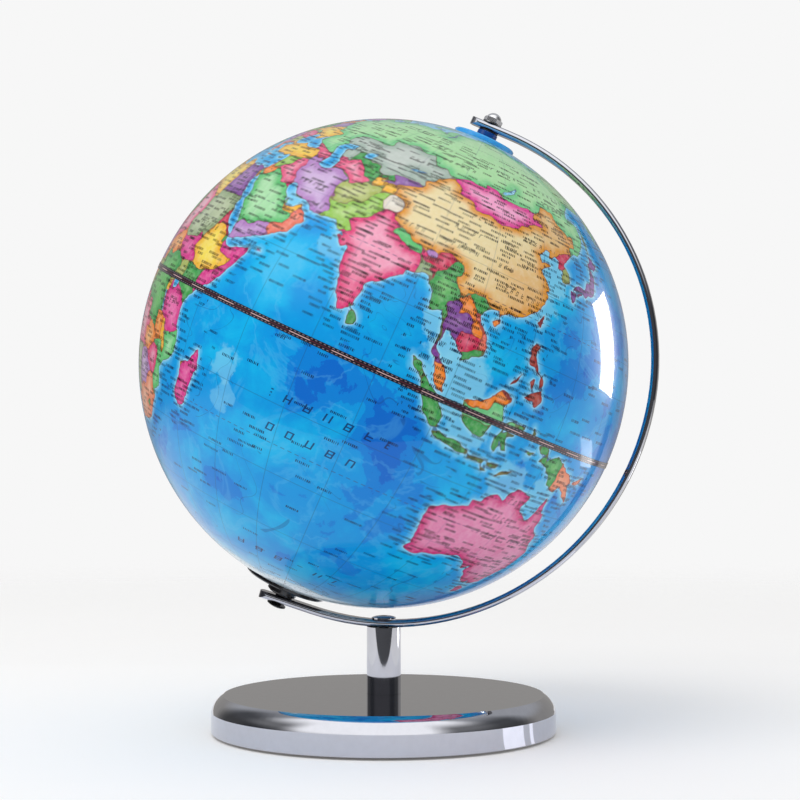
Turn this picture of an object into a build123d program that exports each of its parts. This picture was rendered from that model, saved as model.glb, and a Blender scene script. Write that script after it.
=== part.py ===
from build123d import *
from math import asin, cos, degrees, radians, sin, sqrt, tan
import os

# A desk globe on a chromed stand, in millimetres.
# +Z is up, the origin is the middle of the underside of the base. The arm stands in the XZ plane and
# bulges towards +X, and the globe's north pole leans towards +X.

# Globe ball
GLOBE_R = 100.0            # outside radius of the ball
GLOBE_WALL = 1.6           # moulded wall
TILT = 24.8                # lean of the polar axis from the vertical, degrees
SEAM_GAP = 0.05            # from each half to the plane of the equator
RING_HEIGHT = 12.0         # joining ring inside the equator
RING_WALL = 1.6
TAPE_WIDTH = 2.4           # printed tape over the seam
TAPE_THICKNESS = 0.15

# Pole caps: a flange that lies on the ball, a boss towards the arm, a hub inside the ball
NORTH_FLANGE_R = 13.0
NORTH_FLANGE_T = 1.8
NORTH_BOSS_R = 4.25
SOUTH_FLANGE_R = 17.5
SOUTH_FLANGE_T = 1.5
SOUTH_BOSS_R = 6.3
HUB_R = 7.0
HUB_DEPTH = 12.0           # from the ball's outside to the hub's inner end
FLANGE_EDGE = 0.5          # rounding of the flange's rim
BOSS_CHAMFER = 0.3
RETAINER_R = 13.0          # push-on ring that holds a cap from inside
RETAINER_T = 1.2

# Pivots (M4)
BOLT_R = 2.0
HEX_AF = 7.0               # across the flats of the bolt head and of the nuts
BOLT_HEAD_H = 2.8
CAPTIVE_NUT_H = 3.2
POCKET_SPARE = 0.6         # pocket depth beyond the head or nut in it
THREAD_STAND_OUT = 1.5     # screw tip beyond the captive nut
SCREW_HEAD_R = 4.0
SCREW_HEAD_H = 1.3
CROSS_LENGTH = 4.4         # cross recess in its head
CROSS_WIDTH = 0.8
CROSS_DEPTH = 0.65
WASHER_R = 4.0             # nylon thrust washers
SOUTH_WASHER_R = 5.0
WASHER_T = 0.5
NUT_WASHER_T = 0.5         # steel washer under the acorn nut
ACORN_HEX_H = 1.7
ACORN_H = 4.0
ACORN_DEPTH = 2.4          # bolt end inside the acorn nut
POLE_REACH = 6.3           # from the ball to the arm's mid-line at the north pole

# Arm: flat bar with round edges, bent on the flat
ARM_W = 8.0
ARM_T = 3.0
ARM_TIP = 8.5              # arm beyond each pivot
SEAT = 8.5                 # straight stretch inboard of the north pivot
UPPER_TURN = 75.0          # turn of the upper arc, degrees
UPPER_SPARE = 0.8          # radius of the upper arc, more than the ball's
LOWER_SPARE = 9.0          # the same for the lower arc
TAB_ANGLE = 8.0            # the straight south tab against the south pivot's plane, degrees

# Post
POST_R = 7.0
POST_WALL = 1.5
POST_LENGTH = 27.0         # from the base's flat to the underside of the arm
FOOT_INSERT_H = 12.0
HEAD_INSERT_H = 10.0
HEAD_INSERT_DROP = 0.5     # below the lowest point of the coped end
ARM_SCREW_R = 2.0          # M4
ARM_SCREW_LENGTH = 11.0
ARM_SCREW_HEAD_R = 5.0
ARM_SCREW_HEAD_H = 1.3
HEX_KEY_AF = 2.5
HEX_KEY_DEPTH = 0.7
HEAD_SIDE = 0.45           # upright share of a screw head's height
HEAD_FLAT = 0.5            # flat share of its radius
HEAD_CROWN = 0.12          # bulge of the rounding between them

# Base
BASE_R = 70.2
BASE_H = 15.4
SHOULDER_RUN = 4.9         # from the skirt in to the edge of the flat
SHOULDER_RISE = 6.2        # from the top of the skirt up to the flat
SHOULDER_FOOT = 75.0       # shoulder's slope where it leaves the skirt, degrees
SHELL_T = 1.2
SKIRT_LIFT = 0.8           # the skirt hangs clear of the desk
SKIRT_LIP = 0.4            # rounding of the skirt's lower edge
PAD_T = 1.5
PAD_INSET = 4.2            # pad's edge inside the skirt
COVER_T = 1.2
BALLAST_INSET = 10.2       # ballast's edge inside the skirt
BALLAST_H = 6.0
BASE_BOLT_R = 2.5          # M5
BASE_BOLT_AF = 8.0
BASE_BOLT_HEAD = 3.4
BASE_BOLT_GRIP = 8.0       # thread engaged in the foot insert
BASE_WASHER_R = 9.0
BASE_WASHER_T = 1.0

# Clearances
FIT = 0.05                 # parts pressed, glued or screwed together
HOLE = 0.1                 # plain holes round screws, all round
RUN = 0.08                 # pivots turning in the arm, all round
PLAY = 0.1                 # end play between turning faces

# Heights and places that follow
tab = radians(TAB_ANGLE)
turn = radians(UPPER_TURN)
upper_r = GLOBE_R + UPPER_SPARE
lower_r = GLOBE_R + LOWER_SPARE
north_reach = GLOBE_R + POLE_REACH
lower_x = SEAT + (upper_r - lower_r) * sin(turn)
lower_z = north_reach - upper_r - (lower_r - upper_r) * cos(turn)
tab_x = lower_x + lower_r * sin(tab)
tab_z = lower_z - lower_r * cos(tab)
south_reach = -(tab_z - tab_x * tan(tab))

north_face = north_reach - ARM_T / 2
north_back = north_reach + ARM_T / 2
tab_slice = ARM_T / 2 / cos(tab)
south_face = south_reach - tab_slice - SOUTH_WASHER_R * tan(tab)
south_back = south_reach + tab_slice + SCREW_HEAD_R * tan(tab)
hub_end = GLOBE_R - HUB_DEPTH

tilt = radians(TILT)
arm_offset = lower_x * cos(tilt) + lower_z * sin(tilt)
arm_rise = -lower_x * sin(tilt) + lower_z * cos(tilt)
arm_outside_r = lower_r + ARM_T / 2
arm_inside_r = lower_r - ARM_T / 2
arm_drop = sqrt(arm_outside_r**2 - arm_offset**2) - arm_rise
globe_z = BASE_H + POST_LENGTH + arm_drop

flat_r = BASE_R - SHOULDER_RUN
skirt_top = BASE_H - SHOULDER_RISE
pad_r = BASE_R - PAD_INSET
cover_z = PAD_T
shell_under = BASE_H - SHELL_T
ballast_top = shell_under - FIT
ballast_z = ballast_top - BALLAST_H
washer_z = ballast_z - FIT - BASE_WASHER_T
insert_z = BASE_H + FIT


def turned(*edges):
    """A solid of revolution about Z from edges drawn as (radius, height)."""
    return revolve(Plane.XZ * make_face(edges), Axis.Z)


def turned_outline(*points):
    """The same from straight edges only."""
    return turned(*Polyline(*points, close=True).edges())


def height(ball_r, r):
    """Height of a ball's surface at a distance r from its axis."""
    return sqrt(ball_r**2 - r**2)


def ball_arc(ball_r, r_start, r_end):
    """The upper part of a ball's outline between two distances from the axis."""
    start = degrees(asin(height(ball_r, r_start) / ball_r))
    end = degrees(asin(height(ball_r, r_end) / ball_r))
    return CenterArc((0, 0), ball_r, start, end - start)


def hexagon(across_flats, length, z):
    return Pos(0, 0, z) * extrude(RegularPolygon(across_flats / 2, 6, major_radius=False), length)


def ring(outer, inner, thickness, z):
    return turned_outline((inner, z), (outer, z), (outer, z + thickness), (inner, z + thickness))


def rod(radius, low, high):
    return Pos(0, 0, low) * Cylinder(radius, high - low, align=(Align.CENTER, Align.CENTER, Align.MIN))


def screw_head(radius, tall, z):
    """A low round head: upright side, rounded shoulder, flat crown."""
    side = z + HEAD_SIDE * tall
    top = z + tall
    flat = HEAD_FLAT * radius
    return turned(
        Line((0, z), (radius, z)),
        Line((radius, z), (radius, side)),
        SagittaArc((radius, side), (flat, top), -HEAD_CROWN),
        Line((flat, top), (0, top)),
        Line((0, top), (0, z)),
    )


def on_axis(shape):
    """From the globe's own frame, polar axis along Z, to its leaning place on the stand."""
    return Pos(0, 0, globe_z) * Rot(0, TILT, 0) * shape


def at_south(shape):
    """Turns a piece modelled at the north pole over to the south pole."""
    return Rot(180, 0, 0) * shape


def hemisphere():
    inner_r = GLOBE_R - GLOBE_WALL
    hole_r = HUB_R + HOLE
    foot_out = height(GLOBE_R, SEAM_GAP)
    foot_in = height(inner_r, SEAM_GAP)
    return turned(
        Line((foot_in, SEAM_GAP), (foot_out, SEAM_GAP)),
        ball_arc(GLOBE_R, foot_out, hole_r),
        Line((hole_r, height(GLOBE_R, hole_r)), (hole_r, height(inner_r, hole_r))),
        ball_arc(inner_r, hole_r, foot_in),
    )


def joining_ring():
    outer_r = GLOBE_R - GLOBE_WALL - FIT
    half = RING_HEIGHT / 2
    rim = height(outer_r, half)
    bore = rim - RING_WALL
    return turned(
        Line((bore, -half), (rim, -half)),
        ThreePointArc((rim, -half), (outer_r, 0), (rim, half)),
        Line((rim, half), (bore, half)),
        Line((bore, half), (bore, -half)),
    )


def equator_tape():
    inner_r = GLOBE_R + FIT
    outer_r = inner_r + TAPE_THICKNESS
    half = TAPE_WIDTH / 2
    inner_rim = height(inner_r, half)
    outer_rim = height(outer_r, half)
    return turned(
        Line((inner_rim, -half), (outer_rim, -half)),
        ThreePointArc((outer_rim, -half), (outer_r, 0), (outer_rim, half)),
        Line((outer_rim, half), (inner_rim, half)),
        ThreePointArc((inner_rim, half), (inner_r, 0), (inner_rim, -half)),
    )


def pole_cap(flange_r, flange_t, boss_r, boss_top, pocket_depth):
    """A pole cap at the north pole: its flange follows the ball and its hub has a hexagon pocket."""
    bore = BOLT_R + HOLE
    seat_r = GLOBE_R + FIT
    top_r = GLOBE_R + flange_t
    rim_r = flange_r - FLANGE_EDGE
    rim_top = height(top_r, rim_r)
    rim_side = rim_top - FLANGE_EDGE
    cap = turned(
        Line((bore, hub_end), (bore, boss_top)),
        Line((bore, boss_top), (boss_r - BOSS_CHAMFER, boss_top)),
        Line((boss_r - BOSS_CHAMFER, boss_top), (boss_r, boss_top - BOSS_CHAMFER)),
        Line((boss_r, boss_top - BOSS_CHAMFER), (boss_r, height(top_r, boss_r))),
        ball_arc(top_r, boss_r, rim_r),
        Line((rim_r, rim_top), (flange_r, rim_side)),
        Line((flange_r, rim_side), (flange_r, height(seat_r, flange_r))),
        ball_arc(seat_r, flange_r, HUB_R),
        Line((HUB_R, height(seat_r, HUB_R)), (HUB_R, hub_end)),
        Line((HUB_R, hub_end), (bore, hub_end)),
    )
    return cap - hexagon(HEX_AF + 2 * FIT, pocket_depth, hub_end)


def cap_retainer():
    """Push-on ring on the hub, close under the inside of the ball."""
    top = height(GLOBE_R - GLOBE_WALL, RETAINER_R) - HOLE
    return ring(RETAINER_R, HUB_R + FIT, RETAINER_T, top - RETAINER_T)


def north_pivot_bolt():
    head_z = hub_end + POCKET_SPARE
    tip = north_back + NUT_WASHER_T + ACORN_DEPTH
    shank = chamfer(rod(BOLT_R, head_z, tip).edges().sort_by(Axis.Z)[-1], BOSS_CHAMFER)
    return shank + hexagon(HEX_AF, BOLT_HEAD_H - FIT, head_z)


def acorn_nut():
    """A low dome nut: a chamfered hexagon, a domed crown and a blind bore."""
    base = north_back + 2 * PLAY + NUT_WASHER_T
    corner_r = HEX_AF / 2 / cos(radians(30))
    hexagon_body = hexagon(HEX_AF, ACORN_HEX_H, base)
    cone_drop = (corner_r - HEX_AF / 2) * tan(radians(30))
    bounds = turned_outline(
        (0, base),
        (HEX_AF / 2 + cone_drop, base),
        (corner_r, base + cone_drop),
        (corner_r, base + ACORN_HEX_H - cone_drop),
        (HEX_AF / 2, base + ACORN_HEX_H),
        (0, base + ACORN_HEX_H),
    )
    crown_r = HEX_AF / 2 - BOSS_CHAMFER
    crown_h = ACORN_H - ACORN_HEX_H
    crown_ball = (crown_r**2 + crown_h**2) / (2 * crown_h)
    crown_z = base + ACORN_H - crown_ball
    dome = Pos(0, 0, crown_z) * Sphere(crown_ball)
    keep = rod(crown_r, base + ACORN_HEX_H / 2, base + ACORN_H)
    bore = rod(BOLT_R + FIT, base - PLAY, base + ACORN_DEPTH + FIT)
    return (hexagon_body & bounds) + (dome & keep) - bore


def south_pivot_screw():
    """A low pan-head screw from outside the arm into the captive nut, drawn at the north pole."""
    seat = south_back + PLAY
    tip = hub_end + POCKET_SPARE + FIT - THREAD_STAND_OUT
    cross = Box(CROSS_LENGTH, CROSS_WIDTH, 2 * CROSS_DEPTH) + Box(CROSS_WIDTH, CROSS_LENGTH, 2 * CROSS_DEPTH)
    shank = rod(BOLT_R, tip, seat + FIT)
    return screw_head(SCREW_HEAD_R, SCREW_HEAD_H, seat) + shank - Pos(0, 0, seat + SCREW_HEAD_H) * cross


def south_captive_nut():
    low = hub_end + POCKET_SPARE
    bore = rod(BOLT_R + FIT, low - FIT, low + CAPTIVE_NUT_H + FIT)
    return hexagon(HEX_AF, CAPTIVE_NUT_H, low) - bore


def arm():
    """The bar along its mid-line, its ends rounded, bored along the polar axis and under the post screw."""
    start = (-ARM_TIP, 0, north_reach)
    seat_end = (SEAT, 0, north_reach)
    upper_mid = (SEAT + upper_r * sin(turn / 2), 0, north_reach - upper_r * (1 - cos(turn / 2)))
    bend = (SEAT + upper_r * sin(turn), 0, north_reach - upper_r * (1 - cos(turn)))
    half_way = (turn + radians(180) - tab) / 2
    lower_mid = (lower_x + lower_r * sin(half_way), 0, lower_z + lower_r * cos(half_way))
    lower_end = (tab_x, 0, tab_z)
    tip = (-ARM_TIP * cos(tab), 0, -south_reach - ARM_TIP * sin(tab))
    path = Wire([
        Line(start, seat_end).edge(),
        ThreePointArc(seat_end, upper_mid, bend).edge(),
        ThreePointArc(bend, lower_mid, lower_end).edge(),
        Line(lower_end, tip).edge(),
    ])
    section = Plane(origin=start, x_dir=(0, 1, 0), z_dir=(1, 0, 0)) * SlotOverall(ARM_W, ARM_T)
    bar = sweep(section, path=path)
    round_at = ARM_TIP - ARM_W / 2
    corner = Box(ARM_W, 2 * ARM_W, 4 * ARM_T, align=(Align.MAX, Align.CENTER, Align.CENTER))
    corner -= Cylinder(ARM_W / 2, 5 * ARM_T)
    north_end = Pos(-round_at, 0, north_reach) * corner
    south_end = Pos(0, 0, -south_reach) * Rot(0, -TAB_ANGLE, 0) * Pos(-round_at, 0, 0) * corner
    pivot_hole = Cylinder(BOLT_R + RUN, 3 * north_reach)
    bar = on_axis(bar - north_end - south_end - pivot_hole)
    screw_hole = Pos(0, 0, globe_z - arm_drop) * Cylinder(ARM_SCREW_R + HOLE, 4 * ARM_T)
    return bar - screw_hole


def arm_screw():
    """A low button-head screw down through the arm into the post."""
    edge = ARM_SCREW_HEAD_R + abs(arm_offset)
    seat = globe_z + arm_rise - height(arm_inside_r, edge) + FIT
    top = seat + ARM_SCREW_HEAD_H
    shank = rod(ARM_SCREW_R, seat - ARM_SCREW_LENGTH, seat + FIT)
    head = screw_head(ARM_SCREW_HEAD_R, ARM_SCREW_HEAD_H, seat)
    return head + shank - hexagon(HEX_KEY_AF, HEX_KEY_DEPTH, top - HEX_KEY_DEPTH)


def post_tube():
    """The tube stands on the base's flat and its upper end is coped to the arm."""
    tube = ring(POST_R, POST_R - POST_WALL, POST_LENGTH + ARM_T, BASE_H + FIT)
    cope = Pos(arm_offset, 0, globe_z + arm_rise) * Rot(90, 0, 0) * Cylinder(arm_outside_r + FIT, 4 * POST_R)
    return tube - cope


def post_insert(length, hole_r, z):
    """A threaded plug pressed into an end of the post."""
    return ring(POST_R - POST_WALL - FIT, hole_r + FIT, length, z)


def base_shell():
    """Pressed shell: flat top, rounded shoulder, upright skirt, open below."""
    slope = radians(SHOULDER_FOOT)
    chord = sqrt(SHOULDER_RUN**2 + SHOULDER_RISE**2)
    chord_angle = asin(SHOULDER_RISE / chord)
    shoulder_r = chord / 2 / sin(slope - chord_angle)
    centre_r = BASE_R - shoulder_r * sin(slope)
    centre_z = skirt_top - shoulder_r * cos(slope)
    foot = 90 - SHOULDER_FOOT
    swing = 2 * degrees(slope - chord_angle)
    inner_r = shoulder_r - SHELL_T
    inner_skirt = BASE_R - SHELL_T
    inner_foot = degrees(asin((skirt_top - SHELL_T / 2 - centre_z) / inner_r))
    inner_head = degrees(asin((BASE_H - SHELL_T - centre_z) / inner_r))
    inner_low = (centre_r + inner_r * cos(radians(inner_foot)), skirt_top - SHELL_T / 2)
    inner_high = (centre_r + inner_r * cos(radians(inner_head)), BASE_H - SHELL_T)
    bore = BASE_BOLT_R + HOLE
    return turned(
        Line((bore, BASE_H), (flat_r, BASE_H)),
        CenterArc((centre_r, centre_z), shoulder_r, foot + swing, -swing),
        Line((BASE_R, skirt_top), (BASE_R, SKIRT_LIFT + SKIRT_LIP)),
        Line((BASE_R, SKIRT_LIFT + SKIRT_LIP), (BASE_R - SKIRT_LIP, SKIRT_LIFT)),
        Line((BASE_R - SKIRT_LIP, SKIRT_LIFT), (inner_skirt, SKIRT_LIFT)),
        Line((inner_skirt, SKIRT_LIFT), (inner_skirt, skirt_top - SHELL_T / 2)),
        Line((inner_skirt, skirt_top - SHELL_T / 2), inner_low),
        CenterArc((centre_r, centre_z), inner_r, inner_foot, inner_head - inner_foot),
        Line(inner_high, (bore, BASE_H - SHELL_T)),
        Line((bore, BASE_H - SHELL_T), (bore, BASE_H)),
    )


def base_bolt():
    """Hexagon bolt up through the ballast and the shell into the post's lower plug."""
    under_head = washer_z - FIT
    tip = insert_z + BASE_BOLT_GRIP
    return rod(BASE_BOLT_R, under_head - FIT, tip) + hexagon(BASE_BOLT_AF, BASE_BOLT_HEAD, under_head - BASE_BOLT_HEAD)


north_boss = north_face - PLAY - WASHER_T - FIT
south_boss = south_face - PLAY - WASHER_T - FIT
north_pocket = POCKET_SPARE + BOLT_HEAD_H
south_pocket = POCKET_SPARE + CAPTIVE_NUT_H + FIT
head_insert_z = BASE_H + POST_LENGTH - HEAD_INSERT_DROP - HEAD_INSERT_H
thrust_hole = BOLT_R + HOLE

nodes = {
    "base_pad": turned_outline((0, 0), (pad_r, 0), (pad_r, PAD_T), (0, PAD_T)),
    "base_cover_plate": turned_outline(
        (0, cover_z), (BASE_R - SHELL_T - FIT, cover_z),
        (BASE_R - SHELL_T - FIT, cover_z + COVER_T), (0, cover_z + COVER_T)),
    "base_shell": base_shell(),
    "base_ballast": ring(BASE_R - BALLAST_INSET, BASE_BOLT_R + HOLE, BALLAST_H, ballast_z),
    "base_bolt_washer": ring(BASE_WASHER_R, BASE_BOLT_R + HOLE, BASE_WASHER_T, washer_z),
    "base_bolt": base_bolt(),
    "post_tube": post_tube(),
    "post_foot_plug": post_insert(FOOT_INSERT_H, BASE_BOLT_R, insert_z),
    "post_head_plug": post_insert(HEAD_INSERT_H, ARM_SCREW_R, head_insert_z),
    "arm": arm(),
    "arm_screw": arm_screw(),
    "north_hemisphere": on_axis(hemisphere()),
    "south_hemisphere": on_axis(at_south(hemisphere())),
    "joining_ring": on_axis(joining_ring()),
    "equator_tape": on_axis(equator_tape()),
    "north_cap": on_axis(pole_cap(NORTH_FLANGE_R, NORTH_FLANGE_T, NORTH_BOSS_R, north_boss, north_pocket)),
    "north_cap_retainer": on_axis(cap_retainer()),
    "north_pivot_bolt": on_axis(north_pivot_bolt()),
    "north_thrust_washer": on_axis(ring(WASHER_R, thrust_hole, WASHER_T, north_boss + FIT)),
    "acorn_nut_washer": on_axis(ring(WASHER_R, thrust_hole, NUT_WASHER_T, north_back + PLAY)),
    "acorn_nut": on_axis(acorn_nut()),
    "south_cap": on_axis(at_south(
        pole_cap(SOUTH_FLANGE_R, SOUTH_FLANGE_T, SOUTH_BOSS_R, south_boss, south_pocket))),
    "south_cap_retainer": on_axis(at_south(cap_retainer())),
    "south_thrust_washer": on_axis(at_south(ring(SOUTH_WASHER_R, thrust_hole, WASHER_T, south_boss + FIT))),
    "south_captive_nut": on_axis(at_south(south_captive_nut())),
    "south_pivot_screw": on_axis(at_south(south_pivot_screw())),
}

os.makedirs("parts", exist_ok=True)
for name, shape in nodes.items():
    export_step(shape, f"parts/{name}.step")
print("globe centre height", round(globe_z, 3), "polar axis", round(sin(tilt), 5), round(cos(tilt), 5))
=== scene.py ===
from math import acos, asin, atan2, cos, degrees, hypot, pi, radians, sin

import bpy
import numpy as np
from bpy.props import FloatProperty, FloatVectorProperty, PointerProperty
from mathutils import Matrix, Vector, kdtree, noise
from mathutils.geometry import delaunay_2d_cdt


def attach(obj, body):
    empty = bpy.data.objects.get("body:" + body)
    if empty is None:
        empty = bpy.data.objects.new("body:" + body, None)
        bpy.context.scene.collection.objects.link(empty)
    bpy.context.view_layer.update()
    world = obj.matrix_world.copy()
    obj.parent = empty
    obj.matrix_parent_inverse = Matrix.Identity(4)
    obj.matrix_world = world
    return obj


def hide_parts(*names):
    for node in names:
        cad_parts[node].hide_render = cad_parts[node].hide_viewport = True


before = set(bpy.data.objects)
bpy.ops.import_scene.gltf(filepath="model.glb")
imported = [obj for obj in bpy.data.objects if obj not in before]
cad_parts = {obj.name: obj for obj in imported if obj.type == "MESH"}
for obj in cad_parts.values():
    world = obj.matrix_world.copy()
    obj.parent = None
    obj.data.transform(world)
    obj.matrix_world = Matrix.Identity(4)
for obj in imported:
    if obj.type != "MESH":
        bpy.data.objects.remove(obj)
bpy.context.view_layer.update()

bl_info = {
    "name": "Desk Globe",
    "version": (1, 0, 0),
    "blender": (4, 5, 0),
    "location": "View3D > Sidebar > Desk Globe",
    "description": "Builds the visible pieces of a desk globe on its stand",
    "category": "Add Mesh",
}

# ---------------------------------------------------------------- map data
# Outlines are "lon,lat" in degrees, longitudes from -169 to 191.

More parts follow.
